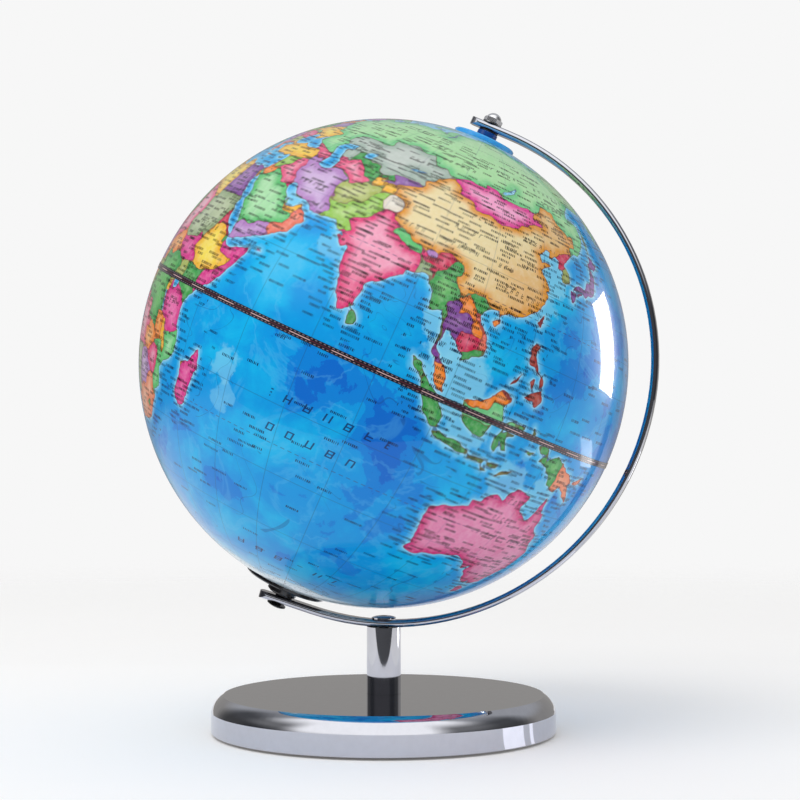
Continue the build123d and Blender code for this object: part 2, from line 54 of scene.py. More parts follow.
COAST = {
    "old_world": """
-5.6,36 -6.4,36.7 -7.4,37.2 -8.9,37 -8.8,38.4 -9.5,38.7 -8.9,40.1 -8.8,41.9 -9.3,43 -7.9,43.7 -5.8,43.6
-3.8,43.4 -1.8,43.4 -1.3,44.6 -1.1,46 -2.2,47.2 -4.4,47.9 -4.7,48.5 -3,48.8 -1.6,48.6 -1.9,49.7 -1.2,49.4
.2,49.6 1.6,50.4 1.8,51 3.6,51.4 4.6,52.5 4.8,53 7,53.6 8.5,53.6 8.9,54 8.2,55.6 8.2,57 10.6,57.7 10.3,56.5
10.9,56.3 9.9,55 11,54.2 12.5,54.4 14.2,53.9 16.5,54.5 18.6,54.7 19.9,54.6 21.1,55.4 21.1,56.8 22.5,57.6
24.3,57.1 24.4,58.3 23.5,59.1 27,59.5 30.1,59.9 28.5,60.6 25,60.2 22.9,59.9 21.4,60.9 21.4,62.5 24.5,64.5
25.3,65.2 24,65.8 22.2,65.6 21.3,64.3 18,62.5 17.2,61 18.8,60 17,58.6 16.4,57 15.9,56.1 14.3,55.5 12.9,55.5
11.9,57.6 10.9,59.2 8.2,58.1 5.7,58.9 5.1,60.5 5.2,62 9,63.7 12,65.2 14,67.2 17,68.8 20,69.9 24,71 27,71
31,70.3 33,69.5 38,68.3 41.1,67.2 40.2,66.3 35,66.6 33,66.6 34.8,64.5 37.5,64 38.5,64.8 40.5,64.6 40.3,65.6
42.5,66.4 44,66.1 44.2,68.3 46.5,68 46,66.9 49,67.8 53,68.5 54.5,68.3 59.5,68.5 61,69.8 64.9,69.3 68,68.5
67,70 67,71.5 69.5,73 72.8,72.8 72.5,71 73.5,69.5 73.5,68 71.5,66.3 72.5,66.4 74.5,68 74.5,70.5 74,72
75.5,72.8 77.6,72.3 80.5,73.5 86,74 87,75 93,76 98,76.2 104,77.7 106,77.4 113,75.6 113.5,73.6 110,73.9
119,73 123.5,73 127,73.4 129.5,71.2 132.5,71.9 139,71.5 140,72.5 146,72.4 150,71.6 153,70.9 159,70.9
160.8,69.6 167,69.6 170.5,70.1 170.5,68.9 176,69.8 180,68.9 185,67.3 188,66.9 190.2,66.1 187.5,65.5 187,64.4
184,65.4 181.5,65.3 180,65 178.5,64.4 177.4,62.5 179.3,62.4 175,61.7 170.4,59.9 166,60 164,59.9 162,58
163,57.8 162.2,56.2 161.8,55.2 160,53.2 158.3,52.9 156.7,51 155.8,55 155.8,57 158,58.2 162,60.5 164.1,62.3
160.5,61.9 156.7,61.5 155,59.4 151,59.2 148,59.3 142.5,59.3 138.5,57.5 135.3,54.7 137.5,53.9 141,53.2
140.5,51 140.2,48.5 138,46.2 135.5,44 132.5,43.2 130.7,42.3 129.7,41.5 127.6,39.8 127.5,39.2 129,37.5
129.5,36 129,35.2 127.5,34.6 126.4,34.6 126.5,36.5 126.7,37.6 125,38 125.3,39.4 124,39.9 121.5,38.9 122,40.5
121,40.8 119,39.2 117.8,38.8 119,37.3 121,37.7 122.5,37.2 120.3,36 119.2,34.9 120.8,33 121.9,31.6 121,30.5
122,29.8 121.5,28.3 119.7,25.8 118.1,24.4 116.5,23 114.2,22.3 111.8,21.6 110.4,21.2 110,20.4 109.6,21.5
108,21.5 106.7,20.4 105.7,18.9 107,17 108.9,15.3 109.3,13 109.1,11.6 107,10.4 105.1,8.7 104.9,10.1
103.5,10.7 102.5,12.1 100.9,12.7 100.9,13.4 100,13.3 99.3,11.2 99.3,9.4 100.3,8.4 101,6.9 102.3,6.2
103.4,4.5 103.4,2.8 104.2,1.4 103.4,1.4 101.3,2.9 100.4,5.8 98.7,8.2 98.6,10.2 98.6,12.6 97.7,15.5 97.3,16.9
95.3,15.8 94.3,16.1 94.4,18 93.7,19.8 92.2,21 91.8,22.4 90.5,22.5 89,21.8 87,21.5 86.5,20.2 85.1,19.4
82.3,16.8 80.2,15.5 80.2,13.4 79.8,11.5 79.9,10.3 78.9,9.3 78.1,8.4 77.4,8.1 76.4,9.6 75.2,11.9 74.3,14.8
73.3,16.6 72.8,19.1 72.8,21 72.3,21.3 71,20.8 69.1,22.2 70.4,22.9 68.3,23.6 67.3,24.8 66.5,25.4 64,25.3
61.5,25.1 59,25.4 57.2,26.8 55,26.8 52.6,27.4 51.2,28.4 50,30.2 48.5,30 48,29.3 49,27.4 50.2,26.4 50.9,24.9
51.3,26 51.6,24.9 51.8,24.1 54,24.2 56,26 56.4,24.9 58.7,23.6 59.8,22.5 58.5,20.4 57.7,18.9 55.4,17.6 55,17
52.2,15.6 49.2,14.6 46.9,13.4 45,12.8 43.4,12.7 42.8,14.7 42.6,16.5 41.2,18.5 39.1,21.3 38.5,23.6 36.7,26
35.2,28 34.9,29.4 34.3,27.8 33.2,28.6 32.5,29.9 32.7,29 33.6,27.8 34.4,26 35.7,23.9 35.5,23.1 37.1,21.1
37.2,19.6 38.5,18.1 39.4,15.6 41,14.7 42.6,13 43.3,12.3 43.3,11.5 45,10.5 47.5,11.2 51.2,11.9 51.1,10.4
49.8,8.2 48,4.6 46,2.4 43.5,.4 42,-1 40.2,-2.7 39,-5 39.5,-7 39.6,-9.5 40.6,-11 40.8,-14.7 39,-17.1
36.9,-18.2 34.9,-19.9 35.5,-22 35.4,-24.1 32.9,-25.6 32.7,-27.5 31.2,-29.5 30,-31.3 27.9,-33 25.7,-34
22,-34.2 20,-34.8 18.4,-34.2 18,-32.8 17.2,-30 15.7,-27.5 14.5,-23.5 14.2,-21.5 12,-18 12.3,-15.5 13.8,-12
12.9,-9 12.3,-6.1 10,-3 8.8,-.8 9.5,1.5 9.8,3.5 8.7,4.6 6.2,4.3 4.3,6.3 1.5,6.1 -2,4.8 -4.5,5.2 -7.5,4.4
-9.5,5.6 -11.4,6.9 -13.2,8.9 -14.8,10.9 -16.7,12.4 -17.3,14.7 -16.4,16.4 -16.3,19.3 -17,21 -16,23.7 -14.7,26
-12.9,27.9 -9.8,29.6 -9.7,31.5 -8,33.4 -6.2,35.2 -5.9,35.8 -5.3,35.6 -3,35.3 -1.8,35.1 .3,36.1 3,36.8
5.5,36.8 9,37.2 11,37 10.3,36.1 11,35.2 10.1,34.2 11.2,33.2 13.2,32.9 15.3,32.3 16,31.2 19,30.3 20.1,31
20.2,32.4 21.8,32.8 23.2,32.3 25,31.6 29,30.9 30.5,31.5 32.3,31.2 34.2,31.3 35,32.8 35.9,34.8 36,36.8
34.6,36.7 32.6,36.1 30.6,36.8 29,36.4 27.4,37 26.4,38.5 26.2,39.5 28.9,40.5 26,40.8 24.5,40.9 23.7,40.2
22.8,40.4 23,39 24.1,37.8 23,37.3 23.1,36.5 22.4,36.5 21.7,36.9 21.2,38.3 19.4,41.3 19.3,42 17,43.1
15.2,44.2 13.8,45 13.6,45.7 12.3,45.3 12.4,44.2 13.6,43.5 14.2,42.5 16,41.8 18.4,40.2 17,40.5 16.5,39.7
17.1,39 16.1,38 15.7,38.1 16,39 15.5,40 14,40.8 12.2,41.8 10.4,43.2 9,44.4 7.4,43.7 6,43.1 4,43.5 3.1,43
3.1,41.9 1,41 -.3,39.4 .2,38.7 -.7,37.6 -2,36.8 -4.4,36.7""",
    "americas": """
-168,65.6 -166.5,68.3 -163,69.9 -156.8,71.3 -150,70.5 -141,69.6 -135,69.3 -128,70.2 -124.5,69.8 -115,68.3
-108.5,68 -104,68 -98,67.8 -94.5,68.5 -94,71.5 -91,69.8 -88,68.5 -85.5,69.7 -81.5,69.2 -82,67.5 -86,66.2
-88,64 -93.5,62 -94.7,60 -94,58.8 -92.5,57 -88,56.5 -82.5,55.2 -82,53 -79.5,51.3 -79,54.5 -76.6,57 -78.5,59
-77.5,62.4 -73,62.2 -69.8,61 -69.5,59 -66,58.8 -64.5,60.2 -61.5,57 -57.5,54.5 -55.7,52.4 -60,50.2 -66.5,50.2
-70,47.2 -65,49.2 -64.5,47.5 -64,46 -61,45.5 -63.5,44.6 -66,43.6 -66,45 -68,44.4 -70.2,43.6 -70.7,42
-70,41.7 -71.5,41.4 -74,40.6 -74.2,39.6 -75.5,37.9 -76,37 -75.7,35.5 -78,34 -80.8,32.2 -81.3,30.5 -80.1,27
-80.4,25.3 -81.6,25.7 -82.8,27.9 -83.8,29.9 -86,30.3 -89.3,30.3 -90,29.2 -93,29.7 -95.3,28.9 -97.3,27.4
-97.7,24 -97.2,20.8 -95.8,18.8 -94,18.2 -91.5,18.5 -90.4,20.9 -87,21.5 -87.7,19 -88.3,17.5 -88.2,15.8
-86,15.8 -83.3,15 -83.7,11.5 -82.3,9.2 -80,9.2 -77.8,8.5 -76.8,8.2 -75.5,10.6 -72,12 -71.5,11 -70,11.8
-66,10.6 -62,10.7 -61,8.8 -58,6.8 -54,5.8 -51.3,4.2 -50,.5 -48.5,-1 -44,-2.6 -40,-2.9 -37,-4.8 -35.2,-6
-34.9,-8.5 -37.2,-11.5 -39,-13.5 -39.2,-17.5 -41,-21.8 -43.5,-23 -47,-24.7 -48.6,-27 -50.2,-30 -53,-33.5
-55,-34.9 -58,-34.2 -57.2,-36 -59,-38.7 -62.2,-39 -65,-41 -63.7,-42.6 -65.3,-44.5 -67.4,-46 -65.9,-47.8
-69,-50.5 -68.4,-52.4 -65.3,-54.7 -70,-55.3 -74,-53 -75.5,-49.5 -74.5,-46 -73.2,-42 -73.6,-38 -71.6,-33.5
-71.5,-29 -70.3,-20 -70.5,-18.3 -75.8,-14.8 -77.5,-11.5 -79.8,-7 -81.2,-5 -80,-3 -81,-1 -80,.8 -78.5,2.6
-77.3,4.5 -77.6,7 -78.3,8.3 -80,7.4 -81.8,7.6 -83.5,8.6 -85.7,10.3 -87.6,13 -91.5,14 -94,16.1 -96.5,15.7
-100,17 -104.5,19.2 -105.6,20.5 -106.5,23.5 -109.5,26 -112.2,29 -113,31.2 -114.7,31.7 -113.2,28.8 -111,26
-109.6,23 -112,25.2 -114.2,27.2 -115.8,30.2 -117.2,32.7 -120.6,34.6 -122.4,37.3 -124.2,40.3 -124.1,43.5
-124,46.4 -124.6,48.3 -122.5,48.3 -123,49.3 -127.5,51.4 -130.2,54.5 -133.5,57.7 -137,58.6 -142,60 -147,60.8
-151.5,59.3 -151,61 -154,58.8 -158.5,56.2 -163.8,54.8 -160.5,56.2 -157.5,58.6 -162,58.7 -165,61.3
-164.5,63.2 -161,64 -164,64.5""",
    "greenland": """
-73,78.2 -66,80.8 -60,82 -45,82.6 -33,83.5 -20,82 -17,80 -20,76.5 -22,73 -24,70.5 -32,68.2 -38,66 -41,64.5
-43.5,60 -48,61 -51.5,64.2 -53.5,67.2 -51,69.5 -54.5,70.6 -56,73.5 -60,76 -68,76""",
    "baffin": """
-61.5,66.7 -67,69.5 -74,71.7 -80,73.7 -88,73.5 -85.5,70.5 -78,69.9 -72.5,67 -78,64.5 -70,62.7 -65,63
-64,65.5""",
    "ellesmere": "-62,82.5 -75,83 -90,81.8 -87,79 -80,76.3 -78,78",
    "victoria": "-105,69 -105,73 -115,73.5 -118,71 -115,69.2",
    "banks": "-125,72 -120,74.3 -116,73.2 -120,71.2",
    "devon": "-81,75 -91,76.7 -92,74.8",
    "melville": "-106,75 -116,76.5 -110,74.8",
    "newfoundland": "-53,47 -59,47.8 -56,51.5 -53.5,49",
    "cuba": "-75,20.2 -77.5,20 -84.7,22 -81,23.1 -77,21.8",
    "hispaniola": "-68.5,18.3 -74.3,18.5 -73,19.9 -69.5,19.6",
    "iceland": "-22.5,64 -24,65.5 -22,66.3 -16,66.4 -13.8,65 -18.5,63.5",
    "britain": """
-5.5,50.1 1.2,51.1 1.6,52.8 -.2,54 -2,56 -2.2,57.6 -3.2,58.6 -5.2,58.4 -5.5,56 -3.2,54.9 -4.5,53.2 -5,51.7
-3,51.4""",
    "ireland": "-6.2,52.3 -6,54.2 -7.5,55.2 -9.8,54 -9.8,51.7",
    "spitsbergen": "11,79 16,76.7 20,78.5 27,80 18,80.3",
    "novaya": "52,71.2 57,70.7 56.5,72.5 60,74.5 68.5,76.7 64,76.6 56,75 52.5,72.5",
    "severnaya": "96,79 100,78 105,78.7 96,81",
    "siberian": "138,74.6 144,73.4 149,75 143,76",
    "sakhalin": "142.2,46.2 143.5,49 142.6,53 142.6,54.3 142.2,51 142,47.5",
    "hokkaido": "140,41.5 141.2,41.9 143.2,42.1 145.4,43.3 142,45.4 141.5,43.3 140.3,43",
    "honshu": """
130.9,34.2 133,35.6 136,35.8 137.3,37.4 139.5,38.5 140,40.8 141.3,41.4 142,39.6 141,37.5 140.8,35.7 139,34.8
137,34.7 135.7,33.6 134.5,34.6 132.3,34.2""",
    "kyushu": "130,33.5 131.8,33.5 131.3,31.4 130.2,31.3 129.8,32.7",
    "shikoku": "132.4,33.4 134.6,34.2 133.8,33.4 132.9,32.9",
    "formosa": "121.6,25.2 121,22.2 120.1,23.3",
    "hainan": "108.7,19.3 110.5,20 110.9,19.5 109.6,18.2",
    "luzon": "120.6,18.5 122.2,18.4 121.6,15.8 124,12.6 122.5,13.6 120.7,13.9 120.1,16",
    "mindanao": "122,7 123.5,8.6 125.4,9.7 126.5,7.5 125.4,6.1 124,7.1",
    "panay": "122,10.6 123.2,11.5 123.3,9.3 122.4,9.6",
    "samar": "124.5,12.4 125.6,11.2 124.9,10.1 124.3,11",
    "palawan": "117.3,8.5 119.5,11.2 118.6,9.3",
    "borneo": """
109,1.5 109.6,2 111.3,2.6 113,3.2 115,5 116.7,7 119.2,5.3 117.8,3.8 119,1 117.5,0 116.4,-2 116.2,-3.8
114.6,-4.1 111.8,-3.4 110,-1.5""",
    "sumatra": """
95.3,5.6 97.5,5.2 100.3,2.6 103.8,0 104.5,-1 106,-3 105.8,-5.8 104.6,-5.8 102.3,-4 100.4,-1 98.7,1.7""",
    "java": "105.3,-6.8 106.8,-6 108.5,-6.7 110.9,-6.4 112.7,-6.9 114.5,-7.8 114.3,-8.7 110,-8.1 106.5,-7.4",
    "lesser": "115,-8.2 119,-8.2 118.8,-9 115.5,-8.8",
    "flores": "119.9,-8.3 122.9,-8.1 122.5,-8.9 120,-8.9",
    "sumba": "119,-9.5 120.8,-10 120,-10.4",
    "timor": "123.6,-10.3 125.2,-8.6 127.2,-8.4 125.5,-9.5",
    "celebes": """
119.5,-5.5 120.4,-5.6 120.5,-3 121.5,-4.7 122.8,-4.6 122,-3.2 121.5,-1.9 123.4,-.9 121.5,-.8 120.1,-1.3
120.2,.3 123.8,.3 125.1,1.6 121,1.3 119.8,.5 119.8,-1 118.9,-2.8""",
    "halmahera": "127.5,2 128.6,1.2 128,-.6 127.7,.8",
    "seram": "128,-3 130.7,-3.1 129.8,-3.6 128.2,-3.5",
    "new_guinea": """
131,-.8 134,-.8 135,-3.3 138,-1.7 141,-2.6 145.8,-5 147.8,-6.1 147,-6.8 150.5,-10.4 147,-9.5 144,-7.7
142.5,-9.2 139,-8.2 138.5,-6.8 135,-4.4 132.8,-4 133.8,-2.3 132,-2.2""",
    "new_britain": "148.5,-5.8 152,-4.3 151.5,-5.8 149.8,-6.3",
    "ceylon": "79.8,9.5 80.5,9.4 81.8,7.5 81.2,6.3 80.1,6.1 79.7,8",
    "madagascar": "49.3,-12 50.4,-15.7 49.4,-18 47.1,-25 45.2,-25.5 43.5,-23.5 44.4,-20 44.3,-16.5 47,-15.3",
    "australia": """
113.7,-22.5 114.2,-26.2 115.7,-31.8 115.1,-34.2 118,-35 121,-33.8 124,-33 126.5,-32.2 131.2,-31.5
134.3,-32.8 135.8,-34.9 137.8,-32.7 137.6,-35.2 139.5,-36.2 141,-38.2 143.6,-38.8 145,-38 146.4,-39.1
150,-37.5 151.3,-33.8 153,-31 153.5,-28 153.1,-25.5 150.8,-23.5 149,-20.5 146.3,-19 145.3,-15 143.6,-14.3
142.5,-10.8 141.6,-13 141.4,-16.2 140.4,-17.6 139,-17.2 135.6,-14.9 136.8,-12.2 132.6,-11.4 130.2,-12.6
129.5,-14.9 127,-14 125,-15.3 124.3,-16.8 122.3,-17.2 122,-18.4 119,-20 116.8,-20.7 114.2,-21.9""",
    "tasmania": "144.7,-40.8 148.2,-40.9 148,-43 146.5,-43.6 145.3,-42.3",
    "north_isle": "172.8,-34.5 175,-36.8 178.4,-37.8 177,-39.6 175.2,-41.6 175,-40.2 173.8,-39.2 174.8,-37.8",
    "south_isle": """
172.7,-40.6 174.2,-41.8 172.7,-43.7 170.7,-45.9 168.5,-46.6 166.5,-45.9 168.4,-44 171.3,-42.3""",
    "cyprus": "32.3,35 34.5,35.6 33.5,34.7",
    "crete": "23.6,35.5 26.2,35.3 24.8,34.8",
    "sicily": "12.5,38 15.6,38.2 15.2,36.7",
    "sardinia": "8.3,39 9.6,39.2 9.5,43 8.6,42",
    "socotra": "53.3,12.7 54.5,12.5 53.8,12.2",
    "antarctica": """
-169,-78.3 -158,-77.5 -148,-77 -140,-75.3 -128,-74.3 -115,-74 -102,-74.5 -100,-72.5 -90,-73 -80,-73
-73,-72.5 -68,-69.5 -66,-66.8 -61,-64.2 -57.5,-63.4 -61,-66 -62,-69.5 -61,-74 -68,-76 -76,-77.5 -60,-77
-48,-78 -36,-78.3 -30,-76.5 -20,-73.8 -10,-71 0,-70 10,-70 20,-70 33,-68.7 38,-69.7 50,-66.8 57,-66.8
62,-67.5 70,-68.7 73,-69.8 79,-68.3 88,-66.7 95,-66.5 102,-65.5 110,-66.3 120,-66.8 130,-66.1 136,-66.2
143,-67 150,-68.5 160,-69.8 170,-71.5 169,-74 163.5,-77 180,-78.3 191,-78.3""",
}

LAKES = {
    "caspian": """
47,45.3 49,46.6 52.5,46.8 53,45.2 51.2,44.6 50.5,44.2 52.8,41.5 53.8,39 53.9,37 51,36.8 49,37.6 49.4,40.2
47.8,42.8 47.5,43.9""",
    "black_sea": """
28,43.4 28.8,44.9 30.8,46.5 33.2,46.1 32.6,45.3 34,44.5 35.4,45 37,46.4 38.8,47 37.5,45.3 39.7,43.4 41.6,42
41.3,41.2 38.3,40.9 36.3,41.3 35,42 31.4,41.2 28.2,41.4""",
    "aral": "58.3,45.5 61,46.5 61.2,44.4 59,43.9",
    "balkhash": "73.7,46.1 76,46.8 79,46.8 75,45.6",
    "baikal": "104,51.5 106.5,52.8 109.6,55.6 109,53.4 105.8,51.5",
    "victoria": "31.8,-.5 33.8,.3 34,-1.8 32.8,-2.6 31.8,-2.5",
    "tanganyika": "29.2,-3.6 29.9,-6.5 30.7,-8.4 31.1,-8.2 29.7,-3.6",
    "malawi": "34,-9.6 34.9,-13.9 34.3,-12",
    "ladoga": "31,60.1 33,60.6 31,61.6",
    "superior": "-92,46.8 -88,48.7 -84.7,47.2 -87,46.6",
    "michigan": "-87.5,41.8 -87.7,44.5 -85.2,46 -86.3,43.8",
    "huron": "-84,46 -80.5,45.8 -81.7,43.2 -83.4,44",
    "erie": "-83.3,41.8 -79,43 -79.5,42.3",
    "great_bear": "-124,66 -120,67 -118,66.4 -121,65.2",
    "great_slave": "-116,61.2 -110,62.6 -113,61",
    "winnipeg": "-98.5,53.6 -97,50.5 -96.3,52",
}

# Paler middle and stronger rim of each tint, sRGB.
TINTS = {
    "lime": ("a9dfa2", "6cc884"), "grey": ("c3cdc6", "9fb4a8"), "green": ("6fbf6a", "3a9a4c"),
    "leaf": ("abe0ac", "55bd6c"), "pink": ("f0b2c6", "e2527f"), "purple": ("a576b8", "7a3f96"),
    "yellow": ("f6de5a", "eeb32c"), "tan": ("ead9a6", "de9428"), "orange": ("f6c07a", "ee8326"),
    "white": ("f2efe6", "dfd6c8"), "rose": ("f0a0bd", "dd2f74"), "lilac": ("cdb0da", "b07cc0"),
    "crimson": ("e77f98", "c9244f"), "sage": ("bcc9a6", "8fa678"), "dark": ("8fbf84", "3f8f4a"),
    "citron": ("bcd98a", "8fc34a"), "khaki": ("c9cf94", "a6b45a"), "coral": ("f5a894", "e46f58"),
    "magenta": ("ea6fae", "d42a86"), "salmon": ("f4b493", "e98256"), "brick": ("d9856f", "a8392c"),
    "violet": ("c3a6d2", "8756a3"), "mauve": ("e283ae", "d02c78"), "ice": ("d9eef6", "bfe3f1"),
    "snow": ("f4f4ee", "dfe6e4"), "moss": ("c6cf9a", "98a659"), "candy": ("f5a6cf", "dd2f92"),
}

